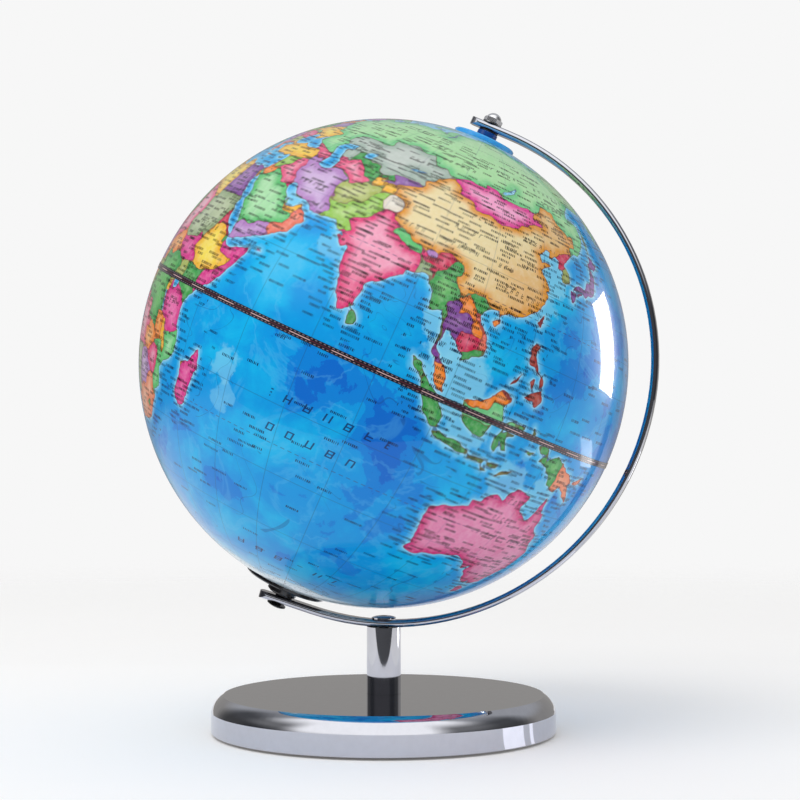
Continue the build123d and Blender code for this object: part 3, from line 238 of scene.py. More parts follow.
# Painted in this order: a later outline covers an earlier one, and all of them stop at the coasts.
COUNTRIES = [
    ("lime", "-26,84 -26,35 60,35 191,40 191,84"),
    ("yellow", "-20,38 -20,-40 60,-40 60,12 40,22 30,33 10,38"),
    ("pink", "-169,84 -169,48 -50,48 -50,84"),
    ("leaf", "-85,13 -30,13 -30,-57 -85,-57"),
    ("snow", "-75,59 -10,59 -10,84 -75,84"),
    ("citron", "-26,60 -10,60 -10,68 -26,68"),
    ("tan", """
73.6,39.4 74.9,40.5 80.2,42.1 80.4,44.8 82.5,45.3 83,47 85.7,48.4 87.7,49.1 100,51 120,55 136,50 131,42.5
130.5,42.4 128,42 126.9,41.7 124.3,40 122,38 125,30 121,26.5 118.5,21.5 112,17.5 108,21.4 106.7,22
105.3,23.3 103,22.7 101.5,22.3 101.2,21.3 100,21.5 99,23.1 97.7,24 98.7,26 98.3,27.6 97,28.3 94.5,29.2
92,27.8 89,27.4 88,27.9 85.8,28.2 83.5,29.3 81.2,30.2 79,31.2 78.8,32.6 79,34.3 76.8,35.6 74.6,37.2"""),
    ("candy", """
87.8,49.1 91,47 90.9,45.2 95.5,44.2 97,42.8 101.5,42.6 105,41.7 110,42.8 111.8,44.2 113.5,44.8 116.5,46.4
119.8,46.8 118,48 115.8,47.8 116.7,49.8 114,51.5 104,52 98,53 92,52"""),
    ("grey", """
46.5,48.5 48,46 51,44.9 51,43 52.5,41.9 54.5,42 56,41.3 56,45 58.6,45.5 62,43.5 64.9,43.7 66,42.9 66.1,42
68,41 70.8,42.2 73.5,43 75.8,42.9 79,42.8 80.3,42.1 80.4,44.9 82.5,45.3 83,47.2 85.7,48.4 87.5,49.2 86,52
75,56 60,56 50,53"""),
    ("lime", """
28,59.5 27.7,57.4 28,56 31,55.5 31,54.5 32,53 34,52.3 35.5,50.4 38,49.8 40,49.3 38.2,47.2 38.5,45 38,43.5
40,43.5 43.5,42.8 46.5,41.8 48.5,41.8 50,44.5 49.5,46 47,48 47,49.9 50,51.4 55,51.3 58.5,50.8 61.5,51.3
61,53.8 65,54.4 69,55.3 71,54.2 73.5,53.6 76.8,54.2 79.5,51 83,51 85.5,49.6 87.8,49.2 92,50.8 98.3,50.5
98.3,52 102.2,51.3 104,50.2 108.5,49.5 114,50.2 116.7,49.8 120,52 120.8,53.3 125.5,53 127.5,50.2 130.8,48.8
131,47.7 134.7,48.4 133.2,45.2 131.2,44.8 131,43 130.6,42.4 133,40.5 141,44.9 147,44.2 165,48 191,55 191,84
30,84 31,72 31,69.7 28.5,69 30,67.5 29,64.5 31.3,62.6 28,60.6"""),
    ("green", """
56,41.3 56,45 58.6,45.5 62,43.5 64.9,43.7 66,42.9 66.1,42 68,41 70.8,42.2 73,41 71,40 70,40.8 68.5,40
68,38.5 68,37.2 66.6,37.4 66.5,38 64,38.9 62,40.8 60,42.2 58.5,42.7"""),
    ("pink", """
52.5,41.9 54.5,42 56,41.3 58.5,42.7 60,42.2 62,41 64,38.9 66.5,38 64.5,36.3 62.3,35.3 61,36.5 58,38 55,38
53.8,37.3 52,38"""),
    ("violet", """
69.5,39.6 71,40 73,41 70.8,42.2 73.5,43 75.8,42.9 79,42.8 80.3,42.1 76.8,41 75,40.4 73.6,39.5 71.7,39.6"""),
    ("yellow", """
67.5,39.5 68.5,40.1 70,40.8 70.6,40.1 69.5,39.6 71.7,39.6 73.6,39.5 74.8,38.4 74.8,37.3 71.6,36.7 71,38.2
70,37.6 68,37.1"""),
    ("lilac", """
44.5,39.6 46.5,38.9 48,39.6 48.8,38.4 51,38 53.9,37.3 55.5,38 57.5,38 60,36.7 61.1,36.5 60.6,34 60.9,31.5
61.8,31 60.9,29.8 63.2,27.2 61.6,25 57,24.5 56,26.4 50,28.5 48.5,30 47.7,31 46,33 45.5,34.5 46,35.8 44.8,37"""),
    ("khaki", """
60.6,34 61.2,35.5 62.3,35.3 64.5,36.3 66.5,37.4 68,37 70,37.6 71,38.3 71.6,36.7 74.8,37.3 71.5,36 70,33.8
69.4,32 66.5,31 66.3,29.9 64,29.5 60.9,29.8 61.8,31 60.9,31.5"""),
    ("citron", """
60.9,29.8 64,29.5 66.3,29.9 66.5,31 69.4,32 70,33.8 71.5,36 74.8,37.1 77,35.6 74,34.5 75.2,32.5 74.4,31
72.8,29 70.4,28 69.6,27 70.6,25.7 71,24.4 68.5,23.6 66,24 61.5,24.8 63.2,27.2"""),
    ("rose", """
68.2,23.6 71,24.4 70.6,25.7 69.6,27 70.4,28 72.8,29 74.4,31 75.2,32.5 74,34.5 77,35.6 79,34.3 78.8,32.6
79,31.2 81.1,30.1 80.1,28.8 83,27.4 88,26.4 88.1,27.9 88.8,27.3 89.8,26.7 92,26.9 92,25.3 89.9,25.3 88.2,26
88.8,24.2 88.9,21.6 87,19 82,13 80,6 77,6 70,18 66,22"""),
    ("white", "73.8,34.4 75,32.7 78.5,32.8 79.3,35.5 77,36.9 74,36.5"),
    ("crimson", """
89.8,26.7 92,26.9 92,27.8 94.5,29.2 97,28.3 96,27.2 94.6,25 93.2,24 92.7,22 92.3,23.7 91.4,24 92.4,25
89.9,25.3"""),
    ("leaf", "80.1,28.8 81.2,30.2 83.5,29.3 85.8,28.2 88.1,27.9 88,26.4 85,26.6 82,27.6"),
    ("lilac", "88.9,27.3 90.5,28.2 92,27.8 92,26.9 89.8,26.7"),
    ("sage", "88.2,26 89.9,25.3 92.4,25 91.4,24 92.3,23.7 92.6,21 90,21 88.9,21.6 88.8,24.2"),
    ("green", """
97.2,28.3 98.3,27.6 98.7,26 97.7,24 99,23.1 100,21.5 101.2,21.4 100,20.3 97.7,18.7 98.8,16.3 98.3,15
99.2,12.5 98.8,10 97,9 94,15 92,20 92.7,22 93.2,24 94.6,25 96,27.2"""),
    ("purple", """
97.7,18.7 100,20.3 101,19.6 101.2,17.8 102.5,18.2 104,18.3 104.9,16.5 105.5,14.6 102.8,14 102.4,13.2
102.9,11.6 100.5,11.5 102,6.5 100.2,6.4 98,7 98.8,10 99.2,12.5 98.3,15 98.8,16.3"""),
    ("orange", """
100,20.4 101.3,21.5 102.2,22.4 103.9,20.9 104.8,19.8 105.2,18.6 107.3,16 107.5,14.5 105.6,14.5 104.9,16.5
104,18.3 102.5,18.2 101.2,17.8 101,19.6"""),
    ("green", """
102.2,22.4 105.3,23.3 106.7,22 108.5,21.6 110,17 110.5,12 107,9 104,8 104.5,10.4 106.2,11.3 107.5,12.5
107.5,14.5 107.3,16 105.2,18.6 104.8,19.8 103.9,20.9"""),
    ("coral", "105,19.5 108.5,18 110,16 110.5,12.5 107.3,12.5 107.5,14.5 107.3,16 105.2,18.3"),
    ("crimson", """
102.4,13.2 102.8,14.2 105.6,14.5 107.5,14.5 107.5,12.5 106.2,11.3 104.5,10.4 103,10.5 102.7,12"""),
    ("green", "94,7 100,3.5 104,1 109,-1 120,-1 126,3 132,3 141,1 141,-11 112,-11 104,-8 94,0"),
    ("orange", "99.8,6.5 102.1,6.3 103.8,4.5 105,1.1 103,.9 99.5,4"),
    ("orange", "108.5,1.9 110.5,.9 112.5,1.4 114.8,1.6 115.8,3.8 117.8,4.2 120,4.6 117,8 113,4.5 109,3"),
    ("brick", "116,7.8 118,5.5 127.5,4.5 127.5,13 123,19.5 119,19"),
    ("khaki", "123,-10.6 125,-8.2 127.5,-8 126,-10"),
    ("salmon", "141,-1 160,-1 160,-12 141,-9.6"),
    ("mauve", "110,-10.9 142.8,-10.4 156,-12 156,-45 110,-45"),
    ("moss", "165,-33 180,-33 180,-48 165,-48"),
    ("purple", "128,30.5 131,34.6 139,39 139.3,46 146.8,44 144,34 132,30"),
    ("brick", "119.5,21.5 123,22 122.5,26 119.8,25.6"),
    ("orange", "108.2,18 111.6,18.3 111.3,20.6 108.2,19.9"),
    ("crimson", "124.2,39.9 126.9,41.8 129.9,43 130.8,42 128.5,38.5 126.6,37.8 124.5,37.6"),
    ("moss", "126.6,37.8 128.5,38.6 130.5,36 129,34 125.5,33.5 125.5,37.3"),
    ("dark", "79,10.2 82.5,9 82,5.5 79,5.8"),
    ("pink", """
42.4,37.2 44.8,37.1 46,35.8 45.5,34.5 46,33 47.7,31 48.6,29.9 47,29.2 44.7,29.2 42,31.1 39.1,32.2 38.8,33.4
41,34.4 41.3,36.4"""),
    ("citron", "35,35 36.6,36.5 38,36.8 42.4,37.2 41.3,36.4 41,34.4 38.8,33.4 36.8,32.4 35.7,32.8"),
    ("orange", "34,31.2 34.6,33.5 36,34.7 35.7,32.8 36.8,32.4 39.1,32.2 37.5,30 36,29.2 34.9,29.2"),
    ("yellow", """
25,41.2 28,42.2 31,41.7 36,42.3 41.5,41.5 43.5,41.1 44.8,39.7 44.4,37.9 42.4,37.2 38,36.8 36.6,36.4 36,35.8
30,35.8 25,36.8"""),
    ("pink", """
40,43.5 43.5,42.8 46.5,41.8 48.6,41.8 50.5,40.3 48.9,38.4 48,39.6 46.5,38.9 44.8,39.7 43.5,41.1 41.5,41.5"""),
    ("leaf", """
34.9,29.4 36,29.2 37.5,30 39.1,32.2 42,31.1 44.7,29.2 46.5,29.1 48.4,28.5 51,26.5 50.8,24.8 51.6,24.2
52.6,22.9 55.1,22.7 55.7,22 55,20 52,19 48.8,18.2 46.4,17.2 44,17.4 42.8,16.4 41,16 38,21 35,27"""),
    ("lilac", "42.8,16.4 44,17.4 46.4,17.2 48.8,18.4 52,19 53.1,16.6 55,12 45,12 42.5,12.5"),
    ("coral", "52,19 55,20 55.7,22 55.2,22.8 56,24.3 56.4,26.5 58,24.5 60.5,22.5 57,17 53.1,16.4"),
    ("yellow", "51.5,24.2 52.6,22.9 55.2,22.8 56,24.3 56.2,26.4 54,25 51.5,24.8"),
    ("rose", "46.6,29.1 47.7,30.1 48.6,29.9 48.5,28.4"),
    ("purple", "24.7,32 25,22 31.2,22 37.5,22 35.5,24 33.4,28.5 32.7,30 34.3,31.4 33,32.5"),
    ("yellow", "9.5,30.3 9.4,26.4 12,23.5 14.2,22.6 16,23.5 23.8,19.5 25,20 25,32 20,33.8 11.5,33.4"),
    ("sage", """
24,20 25,20 25,22 31.2,22 36.9,22 38.6,18 36.9,17 36.4,14.3 35,12 34.1,10.7 34,9.5 32.4,11 31,9.8 28,9.4
24.5,8.9 22.6,11 22,13 24,15.7"""),
    ("magenta", """
24.2,8.8 28,9.4 31,9.8 32.4,11.2 34,9.5 33,7.8 35.9,5 34,4.2 31,3.7 29,4.4 27.4,5.1 25.5,7.2"""),
    ("yellow", """
36.4,14.3 37.9,14.9 40.1,14.4 42.4,12.4 42,11 43,10.9 42.8,9.9 44,8.9 47.9,7.9 45,5 42,4.2 39.5,3.4 36,4.4
35.9,5.2 33,7.8 34.2,9.8 34.3,10.7 35.1,11.9 36.1,12.8"""),
    ("crimson", "36.4,14.3 36.9,17 38.6,18.6 41.8,15 43.5,12.7 42.4,12.4 40.1,14.4 37.9,14.9"),
    ("green", "41.8,11 42.4,12.5 43.5,12.7 43.6,11.4"),
    ("magenta", """
43.2,11.7 42.8,10.8 42.8,9.9 44,8.9 47.9,7.9 45,5 42,4.1 41,2.8 41,-.8 41.6,-1.9 44,-1 53,9 53,12.5 45,11.7"""),
    ("green", """
34,4.2 36,4.4 39.5,3.4 42,4.1 41,2.8 41,-.8 41.6,-1.9 39.2,-4.9 37.7,-3.5 37.6,-3 34,-1 33.9,.1 35,1.9"""),
    ("khaki", "31,3.7 34,4.2 35,1.9 33.9,.1 34,-1 29.6,-1.4 29.7,.6 31.3,2.2"),
    ("magenta", """
30.4,-1.1 34,-1 37.6,-3 37.7,-3.5 39.2,-4.7 41,-8 40.9,-10.5 37.5,-11.7 34.8,-11.6 34,-9.5 32.9,-9.4 31,-8.6
29.5,-6 29.4,-4.4 30.8,-3.4"""),
    ("yellow", "29,-1.4 30.5,-1.1 30.8,-3.2 29.4,-4.5 29,-2.8"),
    ("green", """
12.2,-6 13,-4.6 16.2,-2.2 17.7,0 18.6,3.5 19.5,5 22.4,4.1 25.3,5.2 27.4,5.1 30.8,3.5 31.3,2.2 29.7,.6
29.3,-1.5 29.2,-4.4 29.5,-6 30.7,-8.3 28.7,-8.5 28.5,-11.8 29.8,-13.4 27.5,-12 25,-11.3 24,-10.9 22.2,-11.1
21.8,-7.3 19.5,-7 17.6,-8.1 16.5,-5.9"""),
    ("orange", """
22,-13 24,-13 23.9,-10.9 25,-11.3 27.5,-12 29.8,-13.4 28.5,-11.8 28.7,-8.5 30.8,-8.3 32.9,-9.4 33.3,-10.8
32.8,-13.6 30.4,-15.5 28.9,-15.9 27,-17.9 25.2,-17.8 23.4,-17.6 22,-16.2"""),
    ("yellow", "32.9,-9.4 34,-9.5 34.6,-11.6 35.8,-14.8 35.1,-17 34.2,-14.4 32.8,-13.6"),
    ("leaf", """
34.8,-11.6 37.5,-11.7 40.9,-10.5 41.9,-15 36.5,-20 36.5,-24.5 33.2,-26.9 32,-26.8 31.4,-22.4 32.8,-20
32.9,-16.7 30.4,-15.6 30.3,-14.9 33.2,-14 34.5,-14.6 34.4,-16 35.3,-16.9 35.8,-14.8 34.6,-12"""),
    ("rose", """
25.3,-17.8 27,-17.9 28.9,-15.9 30.4,-15.6 32.9,-16.7 32.8,-20 31.3,-22.4 29.4,-22.2 27.7,-20.5"""),
    ("lilac", """
20,-22 21,-18.3 23.4,-17.9 25.3,-17.8 27.7,-20.5 29.4,-22.2 27,-23.7 25.6,-25.6 22.7,-25.6 20.8,-26.8
20,-24.7"""),
    ("sage", "11,-17.2 14,-17.4 18.5,-17.4 23.4,-17.6 21,-18.3 20,-22 20,-28.5 16.5,-28.6 12,-25"),
    ("salmon", """
16.5,-28.6 20,-28.5 20,-24.7 20.8,-26.8 22.7,-25.6 25.6,-25.6 27,-23.7 29.4,-22.2 31.3,-22.4 32,-26.8
33.2,-26.9 34,-30 26,-36 17,-36 15,-29"""),
    ("green", "27,-29.6 28.6,-28.6 29.4,-29.4 28.2,-30.6"),
    ("magenta", "42.5,-20 43,-26.5 48,-26 51.5,-15 49.5,-11.5"),
    ("pink", """
11.3,-17.2 14,-17.4 18.5,-17.4 23.4,-17.6 22,-16.2 22,-13 24,-13 23.9,-10.9 22.2,-11.1 21.8,-7.3 19.5,-7
17.6,-8.1 16.5,-5.9 12.2,-6 10,-10"""),
    ("coral", "8,-1 9.4,1 11.3,2.3 13.2,2.2 14.4,-.5 14.4,-1.9 11.7,-2.6 11,-4.2"),
    ("khaki", "11.1,-4.2 13,-4.6 16.2,-2.2 17.7,0 18.6,3.5 16.2,2.2 13.2,2.2 14.4,-.5 14.4,-2 11.7,-2.6"),
    ("lilac", "8,4.8 9.4,2.2 13.2,2.2 16.2,2.2 14.7,5.5 15.5,7.6 15,10 14.2,12.8 13.6,11 11.5,7"),
    ("orange", """
14.7,5.5 16.2,2.2 18.6,3.5 19.5,5 22.4,4.1 25.3,5.2 27.4,5.1 25.5,7.2 22.9,10.9 19,9 15.5,7.6"""),
    ("pink", """
14.2,12.8 15,10 15.5,7.6 19,9 22.9,10.9 22,13 24,15.7 24,19.5 16,23.5 15,21 15.5,16.5 13.6,13.7"""),
    ("green", ".3,15 4.2,16.5 4.2,19.1 12,23.5 14.2,22.6 15,21 15.5,16.5 13.6,13.7 9,12.9 4,13.6 2.4,11.9"),
    ("rose", "2.7,6 2.7,8 3.6,11.7 4,13.6 9,12.9 13.6,13.7 14,12 13.2,10 11.5,7 8.5,4.3 5,3.6"),
    ("tan", """
-8.7,27.4 -8.7,28.7 -3,31 -1.7,33 -2.2,35.6 3,37.8 8.6,37.6 8.3,34 9.5,30.3 9.4,26.4 12,23.5 4.2,19.1
-4.8,25"""),
    ("lilac", "8.6,37.6 8.3,34 9.5,30.3 11.6,33.2 11.8,37.8"),
    ("salmon", "-13.4,27.7 -8.7,27.7 -8.7,28.7 -3,31 -1.7,33 -2.2,35.6 -6,36.2 -11,31"),
    ("khaki", "-17.8,21 -13,21 -12,23.5 -8.7,26 -8.7,27.7 -13.4,27.7 -17,24"),
    ("leaf", "-17,16 -17.2,21.2 -13,21.3 -12,23.5 -8.7,26 -4.8,25 -5.5,15.5 -12,15"),
    ("coral", "-12,15 -5.5,15.5 -4.8,25 4.2,19.1 4.2,16.5 .3,15 -3,14 -5.3,11.5 -8,10.3 -11.5,12.3"),
    ("violet", "-17.9,12.5 -17.5,16 -12,15 -11.5,12.3"),
    ("citron", "-15.5,11 -11.5,12.3 -8,10.3 -8,7.6 -10.5,8.5 -13.8,8.8"),
    ("green", "-13.8,8.8 -10.5,8.5 -8,7.6 -7.3,4 -13,6.5"),
    ("orange", "-8.3,7 -8,10.3 -5.3,10.5 -2.8,9.8 -3,4.6 -7.5,4"),
    ("lime", "-3,4.6 -2.8,11 2.4,11.9 2.7,6"),
    ("pink", "-5.3,11.5 -3,14 .3,15 2.4,11.9 -2.8,11"),
    ("coral", "4,57.5 4,62 13,68 20,71.5 31,71.5 28.5,69 20.5,69 18,68.3 14,65 12,61 11.3,59"),
    ("yellow", "11.3,59 12,61 14,65 18,68.3 20.5,69 24,67.8 24,65.5 17.8,61.5 19.5,60 16.8,56 12.7,55.2"),
    ("lilac", "20.5,69 28.5,69 30,67.5 29,64.5 31.3,62.6 27.8,60.3 22,59.4 20.6,63 24,65.5 24,67.8"),
    ("pink", "6,51.8 7,55 8,58 11,58 14.2,54.2 15,51 12.2,50.3 13.5,48.6 13,47.6 7.6,47.6 8,49 6.3,49.5"),
    ("green", "14.2,54.2 19,55 23.5,54 23.8,51.5 24,50.5 22.6,49.2 19,49.4 15,51"),
    ("violet", "-5.5,48.5 2,51.2 6.3,49.5 8,49 7.6,47.6 6,46 7.6,43.6 3.2,42.4 -1.8,43.3"),
    ("yellow", "-10,44 -1.8,43.4 3.5,42.4 0,38 -2,36.2 -6,35.9 -7.4,37 -7,39 -6.5,41.8 -9,42"),
    ("green", "-10,38.5 -9,42 -6.5,41.8 -7,39 -7.4,36.8"),
    ("leaf", "7,45.8 12,47 13.8,45.8 19,40 15.7,36.4 8,38.5 7.6,44"),
    ("orange", "6,46 7.6,47.6 13,47.6 13.5,48.6 17,48 16,46.6 12,47 7,45.9"),
    ("citron", "12.2,50.3 15,51 19,49.4 22.6,49.2 22,48 16.2,46.4 17,48 13.5,48.6"),
    ("lilac", "13.6,45.5 16.2,46.4 20.3,46.2 22.5,44 22.9,41.3 19.2,39.5 19,42"),
    ("coral", "19.2,39.5 22.9,41.3 26.4,41.7 26.8,34.5 21,34.5"),
    ("rose", "20.3,46.2 22.6,48 28,47 30,45 28.5,43.7 22.7,44"),
    ("khaki", "22.5,44 28.5,43.7 28,42 26.4,41.7 22.9,41.3"),
    ("yellow", """
22.2,48.2 24,50.5 23.8,51.5 31,52 34,52.3 35.5,50.4 40,49.3 38.2,47.2 36,44.3 33,44 30,45 28,48.2"""),
    ("violet", "23.5,54 26.6,55.7 31,55 32,53 31,52 23.8,51.5"),
    ("orange", "20.5,55.5 20.8,58.5 24,59.8 28,59.6 27.7,57.4 28,56 26.6,55.7 23.5,54 19.5,54.6"),
    ("rose", "-5.9,49.5 2.2,51 2.2,53 -1,59.5 -7,59.5 -5.3,55"),
    ("leaf", "-11,51 -6,51.5 -5.6,54.4 -7,56 -11,55"),
    ("tan", """
-125.5,49 -95,49 -88,48.3 -82.5,45.3 -82.5,42 -79,43 -74.5,45 -70,46.5 -67,45 -66,44 -70,40 -75,33 -79,24.7
-97,25.9 -101,29.5 -106.5,31.8 -111,31.3 -117.1,32.5 -126,42"""),
    ("tan", "-141,72 -141,60.3 -130,55 -135,54 -169,52 -169,71"),
    ("green", """
-117.1,32.5 -111,31.3 -106.5,31.8 -101,29.5 -97,25.9 -95,22 -86,22.5 -88.5,17.8 -91,17.8 -92,14.3 -100,14
-116,25"""),
    ("coral", "-92,14.3 -91,17.8 -88,18.2 -88,15.8 -82.8,15 -83,11 -87.5,12.3"),
    ("yellow", "-83,11 -77.3,9 -77.6,7 -86,8.5 -86,11"),
    ("lilac", "-86,22 -74,19.5 -77,24 -86,23.5"),
    ("rose", "-74.6,18 -68,18 -68,20 -73,20.3"),
    ("orange", "-79,8.3 -77.3,9 -71.3,12.8 -72.5,9 -70,7 -67.4,6 -67,1.2 -69.9,-4.2 -75.3,0 -79.3,1.4"),
    ("pink", "-71.3,12.8 -60,11 -60,8.5 -61,5 -64,4 -64,1.5 -67,1.2 -67.4,6 -70,7 -72.5,9"),
    ("yellow", "-60,8.8 -51.3,6 -51.2,4 -52.7,2.3 -56.5,2 -60,1.5 -61,5"),
    ("green", "-82,-.5 -79.3,1.4 -75.3,0 -78.5,-4.5 -80.3,-4.4 -82,-3.4"),
    ("salmon", """
-82,-5 -80.3,-4.4 -78.5,-4.5 -75.3,0 -69.9,-4.2 -73.5,-7.3 -70.6,-9.8 -70.6,-11 -69,-12.5 -69.5,-17.5
-70.4,-18.6 -79,-15"""),
    ("violet", """
-69,-12.5 -65.3,-9.8 -65,-12 -60.2,-15 -58,-18 -58,-20 -62.7,-22.1 -66.3,-21.9 -67.7,-22.8 -69.5,-17.5"""),
    ("orange", "-62.7,-22.1 -58,-20 -54.5,-24 -54.6,-27.3 -58.6,-27.3"),
    ("pink", "-58,-30.2 -53.2,-33.7 -54,-36 -58.6,-34"),
    ("yellow", """
-67.7,-22.8 -66.3,-21.9 -62.7,-22.1 -58.6,-27.3 -54.6,-25.6 -54,-27.2 -57.6,-30.2 -58.4,-34 -55,-37 -61,-43
-64,-50 -63,-55.5 -68.6,-54.9 -68.5,-52.4 -72,-51.5 -71.5,-44 -71,-36 -70,-31 -68.5,-26"""),
    ("green", """
-69.5,-17.5 -67.7,-22.8 -68.5,-26 -70,-31 -71,-36 -71.5,-44 -72,-51.5 -68.5,-52.4 -68.6,-56 -78,-56 -78,-40
-72,-18.3"""),
    ("ice", "-169,-60 191,-60 191,-90 -169,-90"),
]

# ---------------------------------------------------------------- sizes


class GlobeSizes(bpy.types.PropertyGroup):
    radius: FloatProperty(name="Ball radius", description="Outside of the ball", default=0.1, unit="LENGTH")
    wall: FloatProperty(name="Ball wall", description="Thickness of each moulded half", default=0.0016,
                        unit="LENGTH")
    seam: FloatProperty(name="Seam", description="From each half to the plane of the equator", default=0.00005,
                        unit="LENGTH")
    hole: FloatProperty(name="Pole hole", description="Radius of the hole at each pole", default=0.0071,
                        unit="LENGTH")
    centre: FloatProperty(name="Centre height", description="Ball's centre above the desk", default=0.15005977,
                          unit="LENGTH")
    tilt: FloatProperty(name="Tilt", description="Lean of the polar axis", default=radians(24.8),
                        unit="ROTATION")
    turned_to: FloatProperty(name="Meridian", description="Longitude that faces the arm's side, degrees",
                             default=167.6)
    land_step: FloatProperty(name="Land step", description="Mesh spacing on land, degrees", default=0.8)
    sea_step: FloatProperty(name="Sea step", description="Mesh spacing at sea, degrees", default=2.4)


class GlobeStage(bpy.types.PropertyGroup):
    lens: FloatProperty(name="Lens", description="Focal length", default=73.87, unit="CAMERA")
    floor: FloatProperty(name="Floor", description="Radius of the floor", default=1.4, unit="LENGTH")
    camera: FloatVectorProperty(name="Camera", description="Where the camera stands", subtype="TRANSLATION",
                                default=(0.14969, -0.65921, 0.10362), precision=5)
    yaw: FloatProperty(name="Yaw", description="Camera's turn from the Y axis", default=-0.2135,
                       unit="ROTATION")
    pitch: FloatProperty(name="Pitch", description="How far the camera looks down", default=-0.0469,
                         unit="ROTATION")
    foot: FloatProperty(name="Foot", description="Radius of the stand's foot", default=0.0702, unit="LENGTH")


def sizes():
    return bpy.context.scene.desk_globe


# ---------------------------------------------------------------- map outlines

OUTLINE_SEED = 4    # without it the noise below is seeded from the clock


def wander(lon, lat):
    """Shifts a point of an outline a little, the same way wherever outlines meet."""
    a, b = radians(lon), radians(lat)
    p = Vector((cos(b) * cos(a), cos(b) * sin(a), sin(b)))
    slow = noise.noise_vector(p * 34)
    fast = noise.noise_vector(p * 95 + Vector((7, 3, 1)))
    stretch = 1 / max(0.2, cos(b))
    return lon + (slow.x * 0.42 + fast.x * 0.24) * stretch, lat + slow.y * 0.42 + fast.y * 0.24


def outline(text, closed=True, step=0.42):
    """A rounded, slightly ragged outline through the points of the text."""
    pts = [tuple(map(float, p.split(","))) for p in text.split()]
    n = len(pts)
    out = []
    for i in range(n if closed else n - 1):
        if closed:
            p0, p1, p2, p3 = pts[i - 1], pts[i], pts[(i + 1) % n], pts[(i + 2) % n]
        else:
            p0, p1, p2, p3 = pts[max(i - 1, 0)], pts[i], pts[i + 1], pts[min(i + 2, n - 1)]
        shrink = cos(radians(min(abs(p1[1] + p2[1]) / 2, 80)))
        count = max(1, int(hypot((p2[0] - p1[0]) * shrink, p2[1] - p1[1]) / step))
        for k in range(count):
            t = k / count
            pos = []
            for c in (0, 1):
                m1, m2 = (p2[c] - p0[c]) * 0.36, (p3[c] - p1[c]) * 0.36
                lim = abs(p2[c] - p1[c]) * 1.2 + 0.3
                m1, m2 = max(-lim, min(lim, m1)), max(-lim, min(lim, m2))
                pos.append((2 * t**3 - 3 * t**2 + 1) * p1[c] + (t**3 - 2 * t**2 + t) * m1
                           + (-2 * t**3 + 3 * t**2) * p2[c] + (t**3 - t**2) * m2)
            out.append(wander(*pos))
    if not closed:
        out.append(wander(*pts[-1]))
    return np.array(out)


def inside(poly, lon, lat):
    """Which points lie inside an outline, both in degrees."""
    found = np.zeros(len(lon), bool)
    lo, hi = poly.min(0), poly.max(0)
    near = np.nonzero((lon > lo[0]) & (lon < hi[0]) & (lat > lo[1]) & (lat < hi[1]))[0]
    if not len(near):
        return found
    x, y = lon[near], lat[near]
    order = np.argsort(y)
    x, y, near = x[order], y[order], near[order]
    odd = np.zeros(len(x), bool)
    nxt = np.roll(poly, -1, 0)
    for (x1, y1), (x2, y2) in zip(poly, nxt):
        if y1 == y2:
            continue
        a, b = np.searchsorted(y, [min(y1, y2), max(y1, y2)])
        if b > a:
            odd[a:b] ^= x[a:b] < x1 + (y[a:b] - y1) * (x2 - x1) / (y2 - y1)
    found[near[odd]] = True
    return found


def world_outlines():
    """The coasts, lakes and countries as point lists, and the lines that the mesh follows."""
    noise.seed_set(OUTLINE_SEED)
    coast, lines = {}, []
    for name, text in COAST.items():
        if name == "antarctica":
            open_line = outline(text, closed=False)
            open_line[0, 1] = open_line[-1, 1] = -78.3
            open_line[0, 0], open_line[-1, 0] = -169, 191
            lines.append((open_line, False))
            coast[name] = np.vstack([open_line, [(191, -91), (-169, -91)]])
        else:
            coast[name] = outline(text)
            lines.append((coast[name], True))
    lakes = [outline(t) for t in LAKES.values()]
    countries = [(tint, outline(t)) for tint, t in COUNTRIES]
    lines += [(p, True) for p in lakes] + [(p, True) for _, p in countries]
    return list(coast.values()), lakes, countries, lines


def on_land(coast, lakes, lon, lat):
    land = np.zeros(len(lon), bool)
    for poly in coast:
        land |= inside(poly, lon, lat)
    for poly in lakes:
        land &= ~inside(poly, lon, lat)
    return land


def wrap(lon):
    return (lon + 169) % 360 - 169


def unit(lon, lat):
    """Unit vectors in the globe's own frame, polar axis along Z."""
    a, b = np.radians(lon - sizes().turned_to), np.radians(lat)
    return np.stack([np.cos(b) * np.cos(a), np.cos(b) * np.sin(a), np.sin(b)], -1)


def flat(lon, lat, side):
    """A pole-centred chart: distance from the pole in degrees, and the angle round it."""
    a = np.radians(lon - sizes().turned_to)
    r = 90 - side * lat
    return np.stack([r * np.cos(a), r * np.sin(a)], -1)


def unflat(xy, side):
    r = np.hypot(xy[:, 0], xy[:, 1])
    return wrap(np.degrees(np.arctan2(xy[:, 1], xy[:, 0])) + sizes().turned_to), side * (90 - r)


def triangulate(points, edges, r_low, r_high):
    """A triangle mesh on the chart between two circles that keeps the given edges."""
    pts = [Vector(map(float, p)) for p in points]
    v, _, f, _, _, _ = delaunay_2d_cdt(pts, edges, [], 0, 1e-6, False)
    v = np.array([p[:] for p in v])
    f = np.array([t for t in f if len(t) == 3])
    mid = v[f].mean(1)
    r = np.hypot(mid[:, 0], mid[:, 1])
    f = f[(r > r_low) & (r < r_high)]
    used, f = np.unique(f, return_inverse=True)
    f = f.reshape(-1, 3)
    v = v[used]
    a, b, c = v[f[:, 0]], v[f[:, 1]], v[f[:, 2]]
    area = (b[:, 0] - a[:, 0]) * (c[:, 1] - a[:, 1]) - (b[:, 1] - a[:, 1]) * (c[:, 0] - a[:, 0])
    f[area < 0] = f[area < 0][:, ::-1]
    return v, f


def circle(r, count):
    a = np.arange(count) * 2 * pi / count
    return np.stack([r * np.cos(a), r * np.sin(a)], -1)


